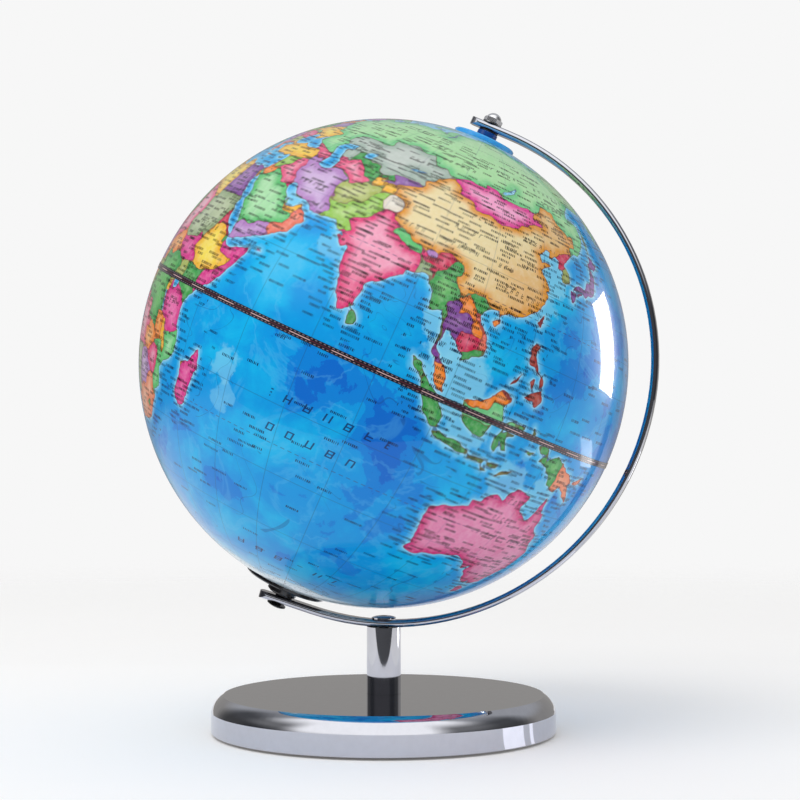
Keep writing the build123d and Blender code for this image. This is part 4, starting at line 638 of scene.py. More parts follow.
def rim_of(v, r):
    """Indices of the mesh points on a circle, in order round it."""
    on = np.nonzero(np.abs(np.hypot(v[:, 0], v[:, 1]) - r) < 0.003)[0]
    return on[np.argsort(np.arctan2(v[on, 1], v[on, 0]))]


def tree_of(points):
    tree = kdtree.KDTree(len(points))
    for i, p in enumerate(points):
        tree.insert(p, i)
    tree.balance()
    return tree


def distances(tree, points):
    """From each unit vector to the nearest one in the tree, in degrees."""
    return np.array([degrees(tree.find(p)[2]) for p in points])


def chart_mesh(world, side, r_low, r_high):
    """The outside of one half: chart points, triangles, tint number and distance to the nearest line."""
    coast, lakes, countries, lines = world
    size = sizes()
    pts, edges = [], []
    for ring_r, count in ((r_high, 720), (r_low, 180)):
        start = len(pts)
        pts += list(circle(ring_r, count))
        edges += [(start + i, start + (i + 1) % count) for i in range(count)]
    for line, closed in lines:
        xy = flat(line[:, 0], line[:, 1], side)
        r = np.hypot(xy[:, 0], xy[:, 1])
        keep = (r < r_high + 1.2) & (r > r_low - 1.2)
        index = np.full(len(line), -1)
        index[keep] = np.arange(keep.sum()) + len(pts)
        pts += list(xy[keep])
        pairs = list(zip(index[:-1], index[1:])) + ([(index[-1], index[0])] if closed else [])
        edges += [(int(a), int(b)) for a, b in pairs if a >= 0 and b >= 0]
    shore = np.vstack([p for p in coast] + lakes)
    near_shore = tree_of(unit(shore[:, 0], shore[:, 1]))
    line_tree = tree_of(np.vstack([unit(p[:, 0], p[:, 1]) for p, _ in lines]))
    grid = []
    for step, reach in ((size.land_step, 0), (size.sea_step, 99)):
        lats = np.arange(step, 90 - r_low, step)
        cells = []
        for row, lat in enumerate(lats):
            count = max(8, int(360 * cos(radians(lat)) / step))
            lon = (np.arange(count) + 0.5 * (row % 2)) * 360 / count - 169
            cells.append(np.stack([lon, np.full(count, side * lat)], -1))
        cells = np.vstack(cells)
        land = on_land(coast, lakes, cells[:, 0], cells[:, 1])
        u = unit(cells[:, 0], cells[:, 1])
        to_shore = distances(near_shore, u)
        if reach:
            keep = ~land & (to_shore > 1.6)
        else:
            keep = land | (to_shore < 1.6)
        keep &= distances(line_tree, u) > 0.22
        grid.append(cells[keep])
    grid = np.vstack(grid)
    xy = flat(grid[:, 0], grid[:, 1], side)
    r = np.hypot(xy[:, 0], xy[:, 1])
    pts += list(xy[(r < r_high - 0.4) & (r > r_low + 0.4)])
    v, f = triangulate(pts, edges, r_low, r_high)
    lon, lat = unflat(v[f].mean(1), side)
    land = on_land(coast, lakes, lon, lat)
    tint = np.zeros(len(f), int)
    tint[land] = 1
    for number, (_, poly) in enumerate(countries):
        tint[inside(poly, lon, lat) & land] = number + 2
    ends = np.sort(np.vstack([f[:, [0, 1]], f[:, [1, 2]], f[:, [2, 0]]]), 1)
    owner = np.tile(tint, 3)
    order = np.lexsort((ends[:, 1], ends[:, 0]))
    ends, owner = ends[order], owner[order]
    same = np.nonzero((ends[1:] == ends[:-1]).all(1) & (owner[1:] != owner[:-1]))[0]
    border = ends[same]
    at_sea = (owner[same] == 0) | (owner[same + 1] == 0)

    def along(pairs):
        a, b = v[pairs[:, 0]], v[pairs[:, 1]]
        return np.vstack([unit(*unflat(a + (b - a) * t, side)) for t in (0, 0.33, 0.67)])

    u = unit(*unflat(v, side))
    to_border = distances(tree_of(along(border)), u)
    to_coast = distances(tree_of(along(border[at_sea])), u)
    sea_point = np.ones(len(v), bool)
    sea_point[f[tint > 0].ravel()] = False
    return v, f, tint, np.where(sea_point, to_coast, to_border)


def place(local):
    """From the globe's own frame, in metres, to its leaning place on the stand."""
    size = sizes()
    turn = np.array(Matrix.Rotation(size.tilt, 3, "Y"))
    return local @ turn.T + np.array([0, 0, size.centre])


def srgb(code):
    parts = [int(code[i:i + 2], 16) / 255 for i in (0, 2, 4)]
    return tuple(c / 12.92 if c < 0.04045 else ((c + 0.055) / 1.055)**2.4 for c in parts)


def half_ball(name, side, world):
    """One half of the ball as a closed shell, the map printed on its outside."""
    size = sizes()
    R, inner = size.radius, size.radius - size.wall
    r_high, r_low = degrees(acos(size.seam / R)), degrees(asin(size.hole / R))
    v, f, tint, reach = chart_mesh(world, side, r_low, r_high)
    outer = unit(*unflat(v, side)) * R
    in_high, in_low = degrees(acos(size.seam / inner)), degrees(asin(size.hole / inner))
    rims = [(rim_of(v, r_high), in_high), (rim_of(v, r_low), in_low)]
    pts, edges, starts = [], [], []
    for rim, r in rims:
        a = np.arctan2(v[rim, 1], v[rim, 0])
        starts.append((len(pts), len(rim)))
        pts += list(np.stack([r * np.cos(a), r * np.sin(a)], -1))
        edges += [(starts[-1][0] + i, starts[-1][0] + (i + 1) % len(rim)) for i in range(len(rim))]
    for lat in np.arange(4, 84, 4):
        pts += list(circle(90 - lat, max(12, int(360 * cos(radians(lat)) / 4))))
    iv, jf = triangulate(pts, edges, in_low, in_high)
    inside_pts = unit(*unflat(iv, side)) * inner
    find = tree_of([(x, y, 0) for x, y in iv])
    base = len(v)
    walls = []
    for (rim, r), (start, count), turn in zip(rims, starts, (1, -1)):
        low = [base + find.find((*pts[start + i], 0))[1] for i in range(count)]
        for i in range(count):
            j = (i + 1) % count
            quad = (rim[i], low[i], low[j], rim[j])
            walls.append(quad if side * turn > 0 else quad[::-1])
    faces = [tuple(t if side > 0 else t[::-1]) for t in f.tolist()]
    faces += [tuple(base + i for i in (t[::-1] if side > 0 else t)) for t in jf.tolist()]
    n_out, n_in = len(f), len(jf)
    faces += [tuple(int(i) for i in q) for q in walls]
    co = place(np.vstack([outer, inside_pts]))
    mesh = bpy.data.meshes.new(name)
    mesh.from_pydata(co.tolist(), [], faces)
    mesh.update()
    obj = bpy.data.objects.new(name, mesh)
    bpy.context.collection.objects.link(obj)

    loops = np.zeros(len(mesh.loops), int)
    mesh.loops.foreach_get("vertex_index", loops)
    starts_at = np.zeros(len(mesh.polygons), int)
    mesh.polygons.foreach_get("loop_start", starts_at)
    centre = np.array([0, 0, size.centre])
    away = (co - centre) / np.linalg.norm(co - centre, axis=1)[:, None]
    normals = away[loops]
    in_loops = np.arange(starts_at[n_out], starts_at[n_out + n_in])
    normals[in_loops] *= -1
    for p in list(mesh.polygons)[n_out + n_in:]:
        normals[p.loop_start:p.loop_start + p.loop_total] = p.normal[:]
    mesh.polygons.foreach_set("use_smooth", [True] * len(mesh.polygons))
    mesh.normals_split_custom_set(normals.tolist())
    mesh.polygons.foreach_set("material_index", [0] * n_out + [1] * (len(faces) - n_out))

    names = [None, "lime"] + [t for t, _ in world[2]]
    for layer, which in (("tint", 0), ("rim", 1)):
        table = np.array([(0.02, 0.3, 0.75, 0)] + [(*srgb(TINTS[n][which]), 1) for n in names[1:]])
        colours = np.ones((len(loops), 4))
        colours[:n_out * 3] = np.repeat(table[tint], 3, axis=0)
        attribute = mesh.color_attributes.new(layer, "FLOAT_COLOR", "CORNER")
        attribute.data.foreach_set("color", colours.ravel())
    reach_all = np.zeros(len(co))
    reach_all[:len(reach)] = reach
    mesh.attributes.new("reach", "FLOAT", "POINT").data.foreach_set("value", reach_all)

    uv = np.zeros((len(co), 2))
    uv[:base] = 0.5 + v / r_high * 0.49
    uv[base:] = 0.068 + iv / r_high * 0.06
    loop_uv = uv[loops]
    for p in list(mesh.polygons)[n_out + n_in:]:
        for k in p.loop_indices:
            i = loops[k]
            xy = v[i] if i < base else iv[i - base]
            a, r = atan2(xy[1], xy[0]), hypot(*xy)
            band = 0.063 if r > 45 else 0.001
            grow = 0.003 if i < base else 0
            loop_uv[k] = (0.068 + (band + grow) * cos(a), 0.068 + (band + grow) * sin(a))
    mesh.uv_layers.new(name="OFBake").data.foreach_set("uv", loop_uv.ravel())
    mesh.update()
    print(name, len(mesh.vertices), "points", len(mesh.polygons), "faces")
    return obj


# ---------------------------------------------------------------- shader helpers

class Value:
    """A socket that can be added, multiplied and so on."""

    def __init__(self, graph, socket):
        self.graph, self.socket = graph, socket

    def __add__(self, other):
        return self.graph.math("ADD", self, other)

    def __radd__(self, other):
        return self.graph.math("ADD", self, other)

    def __sub__(self, other):
        return self.graph.math("SUBTRACT", self, other)

    def __rsub__(self, other):
        return self.graph.math("SUBTRACT", other, self)

    def __mul__(self, other):
        return self.graph.math("MULTIPLY", self, other)

    def __rmul__(self, other):
        return self.graph.math("MULTIPLY", self, other)

    def __truediv__(self, other):
        return self.graph.math("DIVIDE", self, other)


class Graph:
    """Builds one node tree."""

    def __init__(self, tree):
        self.tree = tree
        tree.nodes.clear()

    def node(self, kind, **settings):
        n = self.tree.nodes.new(kind)
        for key, value in settings.items():
            setattr(n, key, value)
        return n

    def feed(self, socket, value):
        if isinstance(value, Value):
            self.tree.links.new(value.socket, socket)
        elif isinstance(value, str):
            socket.default_value = (*srgb(value), 1)
        else:
            socket.default_value = value

    def math(self, operation, *values, clamp=False):
        n = self.node("ShaderNodeMath", operation=operation, use_clamp=clamp)
        for socket, value in zip(n.inputs, values):
            self.feed(socket, value)
        return Value(self, n.outputs[0])

    def ramp(self, value, low, high, start=0.0, end=1.0):
        """Smooth step from low to high."""
        n = self.node("ShaderNodeMapRange", interpolation_type="SMOOTHSTEP")
        for socket, v in zip(n.inputs, (value, low, high, start, end)):
            self.feed(socket, v)
        return Value(self, n.outputs[0])

    def mix(self, factor, a, b, blend="MIX"):
        n = self.node("ShaderNodeMix", data_type="RGBA", blend_type=blend)
        self.feed(n.inputs[0], factor)
        self.feed(n.inputs[6], a)
        self.feed(n.inputs[7], b)
        return Value(self, n.outputs[2])

    def noise(self, vector, scale, detail=2.0, roughness=0.5, distortion=0.0):
        n = self.node("ShaderNodeTexNoise")
        self.feed(n.inputs["Vector"], vector)
        settings = {"Scale": scale, "Detail": detail, "Roughness": roughness, "Distortion": distortion}
        for key, v in settings.items():
            n.inputs[key].default_value = v
        return Value(self, n.outputs[0])

    def vector(self, x, y, z):
        n = self.node("ShaderNodeCombineXYZ")
        for socket, v in zip(n.inputs, (x, y, z)):
            self.feed(socket, v)
        return Value(self, n.outputs[0])

    def chance(self, x, y, z=0.0):
        """A random number for each whole-numbered cell."""
        n = self.node("ShaderNodeTexWhiteNoise", noise_dimensions="3D")
        self.feed(n.inputs["Vector"], self.vector(x, y, z))
        return Value(self, n.outputs[0])

    def split(self, vector):
        n = self.node("ShaderNodeSeparateXYZ")
        self.feed(n.inputs[0], vector)
        return [Value(self, o) for o in n.outputs]

    def place(self, location=(0, 0, 0), rotation=(0, 0, 0), scale=(1, 1, 1)):
        """Object coordinates, moved into a piece's own frame."""
        n = self.node("ShaderNodeMapping")
        self.tree.links.new(self.node("ShaderNodeTexCoord").outputs["Object"], n.inputs[0])
        n.inputs["Location"].default_value = location
        n.inputs["Rotation"].default_value = rotation
        n.inputs["Scale"].default_value = scale
        return Value(self, n.outputs[0])

    def globe_place(self):
        """Object coordinates in the globe's own frame, polar axis along Z."""
        size = sizes()
        to_centre = (size.centre * sin(size.tilt), 0, -size.centre * cos(size.tilt))
        return self.place(to_centre, (0, -size.tilt, 0))

    def attribute(self, name, output="Fac"):
        return Value(self, self.node("ShaderNodeAttribute", attribute_name=name).outputs[output])

    def bump(self, height, strength, distance):
        n = self.node("ShaderNodeBump")
        n.inputs["Strength"].default_value = strength
        n.inputs["Distance"].default_value = distance
        self.feed(n.inputs["Height"], height)
        return Value(self, n.outputs[0])

    def surface(self, **inputs):
        """The one shader of the material, its inputs by name."""
        shader = self.node("ShaderNodeBsdfPrincipled")
        for key, value in inputs.items():
            self.feed(shader.inputs[key.replace("_", " ")], value)
        out = self.node("ShaderNodeOutputMaterial")
        self.tree.links.new(shader.outputs[0], out.inputs[0])


def material(name):
    mat = bpy.data.materials.new(name)
    mat.use_nodes = True
    return mat, Graph(mat.node_tree)


def lon_lat(g):
    """Longitude and latitude in degrees, and the unit vector."""
    p = g.globe_place()
    n = g.node("ShaderNodeVectorMath", operation="NORMALIZE")
    g.feed(n.inputs[0], p)
    u = Value(g, n.outputs[0])
    x, y, z = g.split(u)
    lon = g.math("ARCTAN2", y, x) * degrees(1) + sizes().turned_to
    lat = g.math("ARCSINE", z) * degrees(1)
    return lon, lat, u


def near_line(g, value, spacing, width):
    """1 on lines at every multiple of the spacing, 0 between them."""
    folded = g.math("PINGPONG", value, spacing / 2)
    return g.ramp(folded, width * 0.5, width, 1.0, 0.0)


def small_print(g, lon, lat, row_height, tall, letter, word, share, seed):
    """Rows of letter-like marks in place of names: 1 on ink. The share of words present may be a Value."""
    row = g.math("FLOOR", lat / row_height)
    across = g.math("COSINE", row * (row_height * pi / 180))
    u = lon * across / letter + g.chance(row, seed) * 50
    word_cell = g.math("FLOOR", u / word)
    in_word = g.math("FRACT", u / word)
    has = g.math("LESS_THAN", g.chance(word_cell, row, seed), share)
    has = has * g.math("LESS_THAN", in_word, g.chance(word_cell, row, seed + 0.5) * 0.45 + 0.4)
    drop = g.chance(word_cell, row, seed + 1.5) * (row_height - tall)
    rise = (lat - row * row_height - drop) / tall
    cell, along = g.math("FLOOR", u), g.math("FRACT", u)
    band = g.ramp(rise, 0.0, 0.12) * g.ramp(rise, 0.88, 1.0, 1.0, 0.0)
    wide = g.chance(cell, row, seed + 2.5) * 0.4 + 0.32
    shape = g.ramp(along, 0.02, 0.14) * g.ramp(along, wide, wide + 0.14, 1.0, 0.0)
    return shape * band * has


def large_print(g, lon, lat, row_height, tall, pitch, word, share, seed, placed=None):
    """Spaced capitals that spell nothing: two stems and up to three bars each. 1 on ink."""
    row = g.math("FLOOR", lat / row_height)
    rise = (lat - row * row_height) / tall
    across = g.math("COSINE", row * (row_height * pi / 180))
    u = (lon * across - rise * tall * 0.2) / pitch + g.chance(row, seed) * 50
    word_cell, in_word = g.math("FLOOR", u / word), g.math("FRACT", u / word)
    has = g.math("LESS_THAN", g.chance(word_cell, row, seed), share)
    last = g.math("FLOOR", g.chance(word_cell, row, seed + 0.5) * 0.5 * word + word * 0.4) / word
    has = has * g.math("LESS_THAN", in_word, last) if placed is None else placed
    cell, x = g.math("FLOOR", u), (g.math("FRACT", u) - 0.2) / 0.36

    def stroke(value, at, half, number, share_drawn):
        drawn = g.math("LESS_THAN", g.chance(cell, row, seed + number), share_drawn)
        return g.ramp(g.math("ABSOLUTE", value - at), half * 0.7, half * 1.3, 1.0, 0.0) * drawn

    shape = stroke(x, 0.1, 0.12, 1.1, 1.1)
    for value, at, half, number, share_drawn in ((x, 0.9, 0.12, 2.2, 0.62), (rise, 0.92, 0.08, 3.3, 0.55),
                                                 (rise, 0.5, 0.08, 4.4, 0.5), (rise, 0.08, 0.08, 5.5, 0.45)):
        shape = g.math("MAXIMUM", shape, stroke(value, at, half, number, share_drawn))
    for value in (x, rise):
        shape = shape * g.math("LESS_THAN", g.math("ABSOLUTE", value - 0.5), 0.5)
    return shape * has


# Where the sea is printed darker or brighter: longitude, latitude, reach in degrees, strength.
SEA_PATCHES = (
    (80, -7, 11, 0.15), (98, -9, 12, 0.15), (103, -21, 9, 0.12), (108, -31, 8, 0.08), (133, 16, 13, 0.16),
    (60, -37, 6, 0.07), (85, -52, 8, 0.06), (100, -45, 9, 0.05), (47, -29, 7, 0.07), (150, 28, 16, 0.14),
    (165, 5, 18, 0.10), (-150, 10, 30, 0.10), (-130, -30, 26, 0.08), (-35, 25, 16, 0.10), (-25, -20, 16, 0.09),
    (160, -38, 9, 0.08), (63, 12, 13, -0.16), (72, -28, 14, -0.10), (58, -12, 9, -0.10), (88, 12, 9, -0.04),
    (75, -55, 18, -0.10), (115, 12, 8, -0.10), (130, -55, 14, -0.06), (125, 30, 8, -0.16),
    (-100, -40, 22, -0.06),
)

# Where the biggest marks stand at sea: from and to longitude, and their foot's latitude, a multiple of 7.
OCEAN_NAMES = (
    (71, 99, -14), (71, 94, -21), (185, 218, 7), (187, 210, 0), (195, 228, -35), (200, 224, -42),
    (-42, -14, 21), (-38, -15, 14), (-24, 3, -28), (-22, 1, -35), (62, 90, -56), (92, 115, -56),
)

# Pale shallow seas: longitude, latitude, reach in degrees, strength.
SHELVES = (
    (106, 4, 8.5, 0.7), (112, -4, 6, 0.6), (101, 10, 4, 0.7), (122, 35, 6, 0.7), (120, 27, 5, 0.5),
    (97, 14, 3.5, 0.6),
    (52, 27, 4, 0.7), (128, -11, 6, 0.55), (139, -11, 5, 0.6), (58, -12, 4, 0.45), (60, -19, 3.5, 0.35),
    (70, 20, 4, 0.45), (3, 56, 6, 0.6), (-60, -50, 8, 0.5), (-50, 47, 6, 0.6), (-84, 24, 4, 0.5),
    (-78, 24, 3, 0.6),
)

# Where the land is printed in its border's colour: longitude, latitude, reach in degrees, strength.
RICH_PATCHES = (
    (117, 26, 17, 0.62), (125, 46, 10, 0.5), (77, 12, 12, 0.5), (20, 0, 24, 0.2), (-60, -20, 22, 0.2),
)


def away_from(g, u, lon, lat):
    """How far the unit vector u is from a place on the map."""
    a, b = radians(lon - sizes().turned_to), radians(lat)
    away = g.node("ShaderNodeVectorMath", operation="DISTANCE")
    g.feed(away.inputs[0], u)
    away.inputs[1].default_value = (cos(b) * cos(a), cos(b) * sin(a), sin(b))
    return Value(g, away.outputs["Value"])


def map_print():
    """Printed map under clear varnish."""
    mat, g = material("map_print")
    lon, lat, u = lon_lat(g)
    tint, rim = g.attribute("tint", "Color"), g.attribute("rim", "Color")
    land, reach = g.attribute("tint", "Alpha"), g.attribute("reach")
    wobble = g.noise(u, 22, 3) - 0.5

    country = g.mix(g.ramp(reach + wobble, 0.2, 2.8), rim, tint)
    for at, north, wide, strength in RICH_PATCHES:
        country = g.mix(g.ramp(away_from(g, u, at, north), 0.0, radians(wide), strength, 0.0), country, rim)
    mottle = g.noise(u, 60, 4, 0.6)
    country = g.mix(g.ramp(mottle, 0.35, 0.75, 0.0, 0.12), country, "ffffff")
    relief = g.noise(u, 7, 5, 0.62, 0.4)
    country = g.mix(g.ramp(relief, 0.52, 0.72, 0.0, 0.28), country, rim)
    country = g.mix(g.ramp(reach, 0.05, 0.16, 0.62, 0.0), country, "6a2a30")

    depth = g.noise(u, 4.2, 7, 0.6, 0.3) * 0.55 + 0.225
    for at, north, wide, strength in SEA_PATCHES:
        depth = depth + g.ramp(away_from(g, u, at, north), 0.0, radians(wide), strength, 0.0)
    sea = g.mix(g.ramp(depth, 0.40, 0.52), "08b4ec", "0098e2")
    sea = g.mix(g.ramp(depth, 0.545, 0.555, 0.0, 0.95), sea, "0080d8")
    sea = g.mix(g.ramp(depth, 0.61, 0.62, 0.0, 0.95), sea, "0068cc")
    sea = g.mix(g.ramp(depth, 0.34, 0.42, 0.75, 0.0), sea, "3fc0ef")
    ridge = g.ramp(g.math("ABSOLUTE", g.noise(u, 3.1, 5, 0.6, 0.6) - 0.5), 0.0, 0.03, 1.0, 0.0)
    sea = g.mix(ridge * g.ramp(reach, 3.0, 6.0) * 0.2, sea, "62c6f0")
    for at, north, wide, strength in SHELVES:
        edge = away_from(g, u, at, north) + wobble * 0.12
        sea = g.mix(g.ramp(edge, radians(wide * 0.7), radians(wide), strength, 0.0), sea, "8ad6f0")
    sea = g.mix(g.ramp(reach + wobble * 2.0, 1.7, 0.4, 0.0, 0.5), sea, "74cbee")
    sea = g.mix(g.ramp(reach + wobble * 0.8, 0.7, 0.25, 0.0, 0.5), sea, "98d8f0")
    sea = g.mix(g.ramp(g.math("ABSOLUTE", lat), 56.0, 72.0, 0.0, 0.8), sea, "8fd2f0")
    sea = g.mix(g.ramp(reach, 0.22, 0.12, 0.0, 0.3), sea, "e6f6fb")
    sea = g.mix(g.ramp(reach, 0.10, 0.03, 0.0, 0.8), sea, "1c5d8c")
    drift = g.noise(u, 1.7, 2, 0.5, 1.6)
    current = g.ramp(g.math("ABSOLUTE", g.math("FRACT", drift * 9) - 0.5), 0.010, 0.022, 1.0, 0.0)
    current = current * g.math("GREATER_THAN", g.noise(u, 2.4, 1), 0.5) * g.ramp(reach, 2.5, 3.5)
    sea = g.mix(current * 0.4, sea, "0b3f86")

    colour = g.mix(land, sea, country)
    across = g.math("COSINE", lat * radians(1))
    meridian = g.ramp(g.math("PINGPONG", lon, 7.5) * across, 0.06, 0.13, 1.0, 0.0)
    grid = g.math("MAXIMUM", near_line(g, lat, 15.0, 0.13), meridian)
    colour = g.mix(grid * g.ramp(land, 0.4, 0.6, 0.40, 0.24), colour, "1c4a78")
    dashes = g.math("GREATER_THAN", g.math("FRACT", lon * 0.55), 0.42)
    tropic = g.ramp(g.math("ABSOLUTE", g.math("ABSOLUTE", lat) - 23.44), 0.07, 0.13, 1.0, 0.0)
    polar = g.ramp(g.math("ABSOLUTE", g.math("ABSOLUTE", lat) - 66.56), 0.07, 0.13, 1.0, 0.0)
    colour = g.mix(g.math("MAXIMUM", tropic, polar) * dashes * 0.6, colour, "3a2a5c")

    shore = g.ramp(reach, 0.8, 6.0, 0.72, 0.08)
    share = g.math("ADD", land * 0.66, (1.0 - land) * shore)
    share = share * g.ramp(g.math("ABSOLUTE", lat), 45.0, 72.0, 1.0, 0.3)
    ink = small_print(g, lon, lat, 1.2, 0.68, 0.42, 12.0, share, 3.0)
    finer = small_print(g, lon + 3.1, lat + 0.6, 1.45, 0.6, 0.37, 14.0, share * 0.65, 11.0)
    ink = g.math("MAXIMUM", ink, finer)
    colour = g.mix(ink * 0.95, colour, g.mix(land, "08224a", "160f0d"))
    names = large_print(g, lon, lat + 1.1, 4.6, 1.1, 1.35, 9.0, land * 0.42, 19.0)
    colour = g.mix(names * land * g.ramp(reach, 0.5, 0.9) * 0.92, colour, "1d1512")
    placed = Value(g, g.node("ShaderNodeValue").outputs[0])
    for west, east, south in OCEAN_NAMES:
        near_lon = g.math("COMPARE", lon, (west + east) / 2, (east - west) / 2)
        placed = g.math("MAXIMUM", placed, near_lon * g.math("COMPARE", lat, south + 1.0, 2.0))
    oceans = large_print(g, lon, lat, 7.0, 1.75, 4.6, 8.0, 1.0, 29.0, placed)
    colour = g.mix(oceans * (1.0 - land) * g.ramp(reach, 3.5, 4.5) * 0.9, colour, "0a2a60")
    rough = g.ramp(g.noise(u, 30, 2), 0.3, 0.7, 0.30, 0.36)
    g.surface(Base_Color=colour, Roughness=rough, IOR=1.33, Specular_IOR_Level=0.25, Coat_Weight=0.8,
              Coat_Roughness=0.03, Coat_IOR=1.34, Normal=g.bump(g.noise(u, 260, 3), 0.02, 0.0002))
    return mat


def plastic(name, colour, second, roughness=0.35, coat=0.0, scale=900.0, strength=0.05, **more):
    mat, g = material(name)
    p = g.place()
    grain = g.noise(p, scale, 3)
    g.surface(Base_Color=g.mix(g.ramp(grain, 0.3, 0.7), colour, second),
              Roughness=g.ramp(g.noise(p, scale / 6, 2), 0.3, 0.7, roughness * 0.88, roughness * 1.12),
              Coat_Weight=coat, Coat_Roughness=0.05, Normal=g.bump(grain, strength, 0.0002), **more)
    return mat


def metal(name, colour, second, roughness, scale=300.0, strength=0.02):
    mat, g = material(name)
    p = g.place()
    wear = g.noise(p, scale, 4, 0.6)
    g.surface(Base_Color=g.mix(g.ramp(wear, 0.3, 0.75), colour, second), Metallic=1.0,
              Roughness=g.ramp(g.noise(p, scale / 2, 3), 0.3, 0.7, roughness * 0.85, roughness * 1.15),
              Normal=g.bump(g.noise(p, scale * 3, 2), strength, 0.0001))
    return mat


def cap_plastic():
    """Clear blue moulding: pale where it lies thin on the ball, that pale partly a painted highlight, and dark
    in the boss.
    """
    mat, g = material("blue_plastic")
    p = g.globe_place()
    x, y, _ = g.split(p)
    out = g.math("POWER", x * x + y * y, 0.5)
    grain = g.noise(p, 600.0, 3)
    # pale flange colour: partly the thinner plastic, partly a painted highlight
    thin_and_painted_sheen = g.mix(g.ramp(grain, 0.3, 0.7), "4ab2f2", "3ea8ee")
    g.surface(Base_Color=g.mix(g.ramp(out, 0.0043, 0.0058), "0b4a92", thin_and_painted_sheen), Roughness=0.18, IOR=1.46,
              Coat_Weight=0.5, Coat_Roughness=0.05, Subsurface_Weight=0.15, Subsurface_Scale=0.002,
              Normal=g.bump(grain, 0.03, 0.0002))
    return mat


def tape_print():
    """Printed equator tape: dark edges, a pale red middle and a tick for every degree."""
    mat, g = material("tape_print")
    lon, lat, u = lon_lat(g)
    side = g.math("ABSOLUTE", lat)
    fine = g.math("LESS_THAN", g.math("FRACT", lon), 0.5)
    coarse = g.math("LESS_THAN", g.math("FRACT", lon / 10), 0.5)
    colour = g.mix(g.ramp(side, 0.07, 0.11), g.mix(coarse, "5c1e30", "d8b0b0"), "0e0c18")
    ticks = g.ramp(side, 0.34, 0.37) * g.ramp(side, 0.50, 0.53, 1.0, 0.0) * fine
    colour = g.mix(ticks * 0.75, colour, "a08c98")
    colour = g.mix(g.ramp(g.noise(u, 40, 3), 0.3, 0.7, 0.0, 0.10), colour, "4a3a48")
    g.surface(Base_Color=colour, Roughness=0.32, Coat_Weight=0.6, Coat_Roughness=0.08,
              Normal=g.bump(g.noise(u, 300, 2), 0.03, 0.0002))
    return mat


# ---------------------------------------------------------------- stage

def area_light(name, place_at, target, width, height, power, colour=(1, 1, 1), hidden=True):
    light = bpy.data.lights.new(name, "AREA")
    light.shape = "RECTANGLE"
    light.size, light.size_y = width, height
    light.energy = power
    light.color = colour
    obj = bpy.data.objects.new(name, light)
    bpy.context.collection.objects.link(obj)
    obj.location = place_at
    obj.rotation_euler = (Vector(target) - Vector(place_at)).to_track_quat("-Z", "Y").to_euler()
    obj.visible_camera = not hidden
    return obj


def studio_world():
    world = bpy.data.worlds.new("studio")
    bpy.context.scene.world = world
    world.use_nodes = True
    g = Graph(world.node_tree)
    direction = Value(g, g.node("ShaderNodeTexCoord").outputs["Generated"])
    x, y, z = g.split(direction)
    rise = g.math("ARCSINE", z) * degrees(1)
    level = g.math("POWER", x * x + y * y + 0.0001, 0.5)
    front = g.ramp(y / level, -0.2, 0.25, 1.0, 0.0)
    low = g.mix(front, (0.33, 0.32, 0.305, 1), (0.07, 0.07, 0.075, 1))
    high = g.mix(front, (0.45, 0.46, 0.48, 1), (1.4, 1.4, 1.4, 1))
    gloss = g.mix(g.ramp(rise, 14.0, 30.0), low, high)
    dark_side = g.ramp(g.math("ABSOLUTE", x / level), 0.68, 0.92) * g.ramp(rise, 34.0, 64.0, 0.86, 0.0)
    gloss = g.mix(dark_side, gloss, (0.03, 0.032, 0.036, 1))
    paths = g.node("ShaderNodeLightPath").outputs
    colour = g.mix(Value(g, paths["Is Glossy Ray"]), "dddddd", gloss)
    colour = g.mix(Value(g, paths["Is Camera Ray"]), colour, "f7f7f7")
    background = g.node("ShaderNodeBackground")
    g.feed(background.inputs[0], colour)
    background.inputs[1].default_value = 1.0
    g.tree.links.new(background.outputs[0], g.node("ShaderNodeOutputWorld").inputs[0])


def give(obj, *materials):
    obj.data.materials.clear()
    for mat in materials:
        obj.data.materials.append(mat)


def ready(obj, body, slot, nodes, *materials):
    """Materials, body and the CAD nodes that a finished piece stands for; the slot argument is not used."""
    give(obj, *materials)
    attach(obj, body)
    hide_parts(*nodes)


# ---------------------------------------------------------------- operators

class GLOBE_OT_ball(bpy.types.Operator):
    """Both printed halves of the ball"""
    bl_idname = "desk_globe.ball"
    bl_label = "Ball with its map"

    def execute(self, context):
        world = world_outlines()
        print_mat = map_print()
        back = plastic("ball_inside", "e9e7e0", "dddbd3", 0.5)
        for name, side in (("north_globe", 1), ("south_globe", -1)):
            obj = half_ball(name, side, world)
            ready(obj, "globe", "printed_globe", [name.replace("globe", "hemisphere")], print_mat, back)
        return {"FINISHED"}


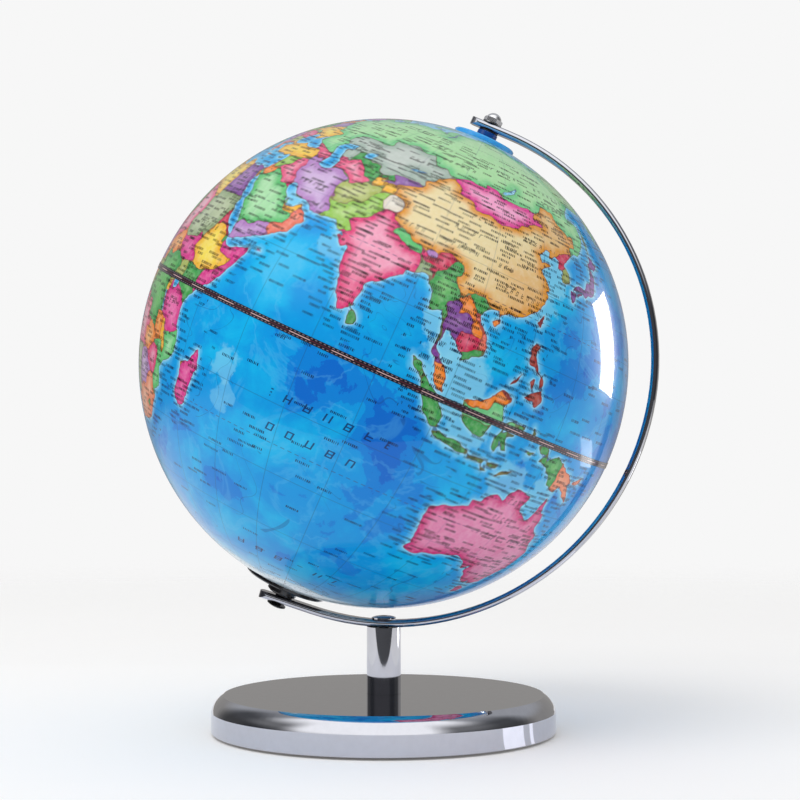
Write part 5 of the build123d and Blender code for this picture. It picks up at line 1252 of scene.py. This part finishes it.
class GLOBE_OT_finishes(bpy.types.Operator):
    """Finishes of the CAD parts that are shown as they are"""
    bl_idname = "desk_globe.finishes"
    bl_label = "Finishes"

    def execute(self, context):
        chrome = metal("chrome", "c9cad1", "c5c6cd", 0.04, 260.0, 0.004)
        nickel = metal("bright_nickel", "f3f3f5", "eaeaee", 0.24, 600.0, 0.01)
        steel = metal("zinc_steel", "c9cacb", "a9abad", 0.28)
        black_steel = metal("black_steel", "1b1b1d", "2b2b2e", 0.3)
        black = plastic("black_plastic", "0b0b0d", "141416", 0.22, 0.6)
        nylon = plastic("black_nylon", "141416", "1f1f22", 0.5)
        white = plastic("white_plastic", "e9e7e0", "dddbd3", 0.5)
        blue = cap_plastic()
        foam = plastic("foam_pad", "2e2f31", "1f2022", 0.9, 0.0, 500.0, 0.5)
        iron = metal("cast_iron", "4a4846", "35322f", 0.6, 200.0, 0.3)
        looks = {
            chrome: "base_shell post_tube arm arm_screw",
            nickel: "acorn_nut",
            steel: "base_bolt base_bolt_washer acorn_nut_washer north_pivot_bolt south_captive_nut "
                   "post_foot_plug post_head_plug",
            black_steel: "south_pivot_screw",
            black: "south_cap base_cover_plate",
            nylon: "north_thrust_washer south_thrust_washer",
            white: "joining_ring north_cap_retainer south_cap_retainer",
            blue: "north_cap",
            foam: "base_pad",
            iron: "base_ballast",
            tape_print(): "equator_tape",
        }
        for mat, names in looks.items():
            for name in names.split():
                give(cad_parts[name], mat)
        return {"FINISHED"}


class GLOBE_OT_stage(bpy.types.Operator):
    """Floor, studio light and camera"""
    bl_idname = "desk_globe.stage"
    bl_label = "Stage"

    def card(self, name, corners, colour, second, glow=0.0):
        """A flat card on the floor, seen only in reflections."""
        bpy.ops.mesh.primitive_plane_add(size=1, location=(0, 0, 0))
        card = bpy.context.active_object
        card.name = name
        for vertex, (x, y, z) in zip(card.data.vertices, corners):
            vertex.co = (x, y, z)
        mat, g = material(name)
        tone = g.mix(g.noise(g.place(), 5, 2), colour, second)
        g.surface(Base_Color=tone, Roughness=0.8, Emission_Color=tone, Emission_Strength=glow)
        card.data.materials.append(mat)
        card.visible_camera = card.visible_diffuse = card.visible_shadow = False

    def cards(self, stage):
        """Cards that the chrome mirrors: dark in front, pale round the foot, two white strips at the right."""
        turn = atan2(stage.camera[1], stage.camera[0])

        def level(angle, length=1.0, up=0.0):
            return Vector((cos(angle) * length, sin(angle) * length, up))

        def oblong(near, far, half_wide, up):
            side = level(turn + pi / 2, half_wide)
            return [level(turn, out, up) + side * sign for out in (near, far) for sign in (-1, 1)]

        self.card("front_card", oblong(0.238, stage.floor, 1.2, 0.0006), "35363a", "3b3c40")
        self.card("near_card", oblong(-0.24, 0.24, 0.24, 0.0002), "dadadd", "e0e0e3", 0.3)
        for name, start, end in (("glint_card", 41.0, 51.0), ("thin_glint_card", 54.5, 56.5)):
            corners = []
            for angle in (radians(start), radians(end)):
                root = level(turn + angle, stage.foot + 0.0002, 0.0008)
                corners += [root, root + level(turn + 2 * angle, 0.08)]
            self.card(name, corners, "fafaff", "f4f4fa", 0.8)

    def execute(self, context):
        stage = context.scene.desk_globe_stage
        bpy.ops.mesh.primitive_circle_add(vertices=96, radius=stage.floor, fill_type="NGON",
                                          location=(0, 0, -0.0002))
        floor = context.active_object
        floor.name = "floor"
        mat, g = material("pale_floor")
        p = g.place()
        x, y, _ = g.split(p)
        out = g.math("POWER", x * x + y * y, 0.5)
        tone = g.mix(g.noise(p, 3, 2), "f6f6f6", "f3f3f3")
        g.surface(Base_Color=tone, Roughness=0.9, Specular_IOR_Level=0.1, Emission_Color="fbf7f3",
                  Emission_Strength=0.12, Alpha=g.ramp(out, 0.28, stage.floor, 1.0, 0.0))
        floor.data.materials.append(mat)
        self.cards(stage)
        centre = (0, 0, 0.13)
        key = area_light("key", (-0.5, -1.0, 1.6), centre, 1.2, 1.2, 12)
        key.visible_glossy = False
        window = area_light("right_window", (0.88, 0.87, 0.285), (0.09, -0.03, 0.155), 0.36, 0.46, 9)
        ball_only = bpy.data.collections.new("ball_only")
        for name in ("north_globe", "south_globe"):
            ball_only.objects.link(bpy.data.objects[name])
        window.light_linking.receiver_collection = ball_only
        window.visible_diffuse = False
        area_light("floor_glint", (0.33, 0.24, 0.001), (0.33, 0.24, 1), 0.12, 0.12, 0.15)
        studio_world()
        context.scene.view_settings.view_transform = "Standard"
        camera = bpy.data.cameras.new("camera")
        camera.lens = stage.lens
        camera.sensor_width = 36
        camera.clip_start = 0.01
        obj = bpy.data.objects.new("camera", camera)
        context.collection.objects.link(obj)
        obj.location = stage.camera
        level = cos(stage.pitch)
        ahead = Vector((sin(stage.yaw) * level, cos(stage.yaw) * level, -sin(stage.pitch)))
        obj.rotation_euler = ahead.to_track_quat("-Z", "Y").to_euler()
        context.scene.camera = obj
        return {"FINISHED"}


OPERATORS = (GLOBE_OT_ball, GLOBE_OT_finishes, GLOBE_OT_stage)


class GLOBE_PT_panel(bpy.types.Panel):
    bl_idname = "GLOBE_PT_panel"
    bl_label = "Desk Globe"
    bl_space_type = "VIEW_3D"
    bl_region_type = "UI"
    bl_category = "Desk Globe"

    def draw(self, context):
        for operator in OPERATORS:
            self.layout.operator(operator.bl_idname)


CLASSES = (GlobeSizes, GlobeStage, *OPERATORS, GLOBE_PT_panel)


def register():
    for cls in CLASSES:
        bpy.utils.register_class(cls)
    bpy.types.Scene.desk_globe = PointerProperty(type=GlobeSizes)
    bpy.types.Scene.desk_globe_stage = PointerProperty(type=GlobeStage)


def unregister():
    del bpy.types.Scene.desk_globe_stage
    del bpy.types.Scene.desk_globe
    for cls in reversed(CLASSES):
        bpy.utils.unregister_class(cls)


def main():
    register()
    bpy.ops.object.select_all(action="DESELECT")
    bpy.ops.desk_globe.ball()
    bpy.ops.desk_globe.finishes()
    bpy.ops.desk_globe.stage()


if __name__ == "__main__":
    main()
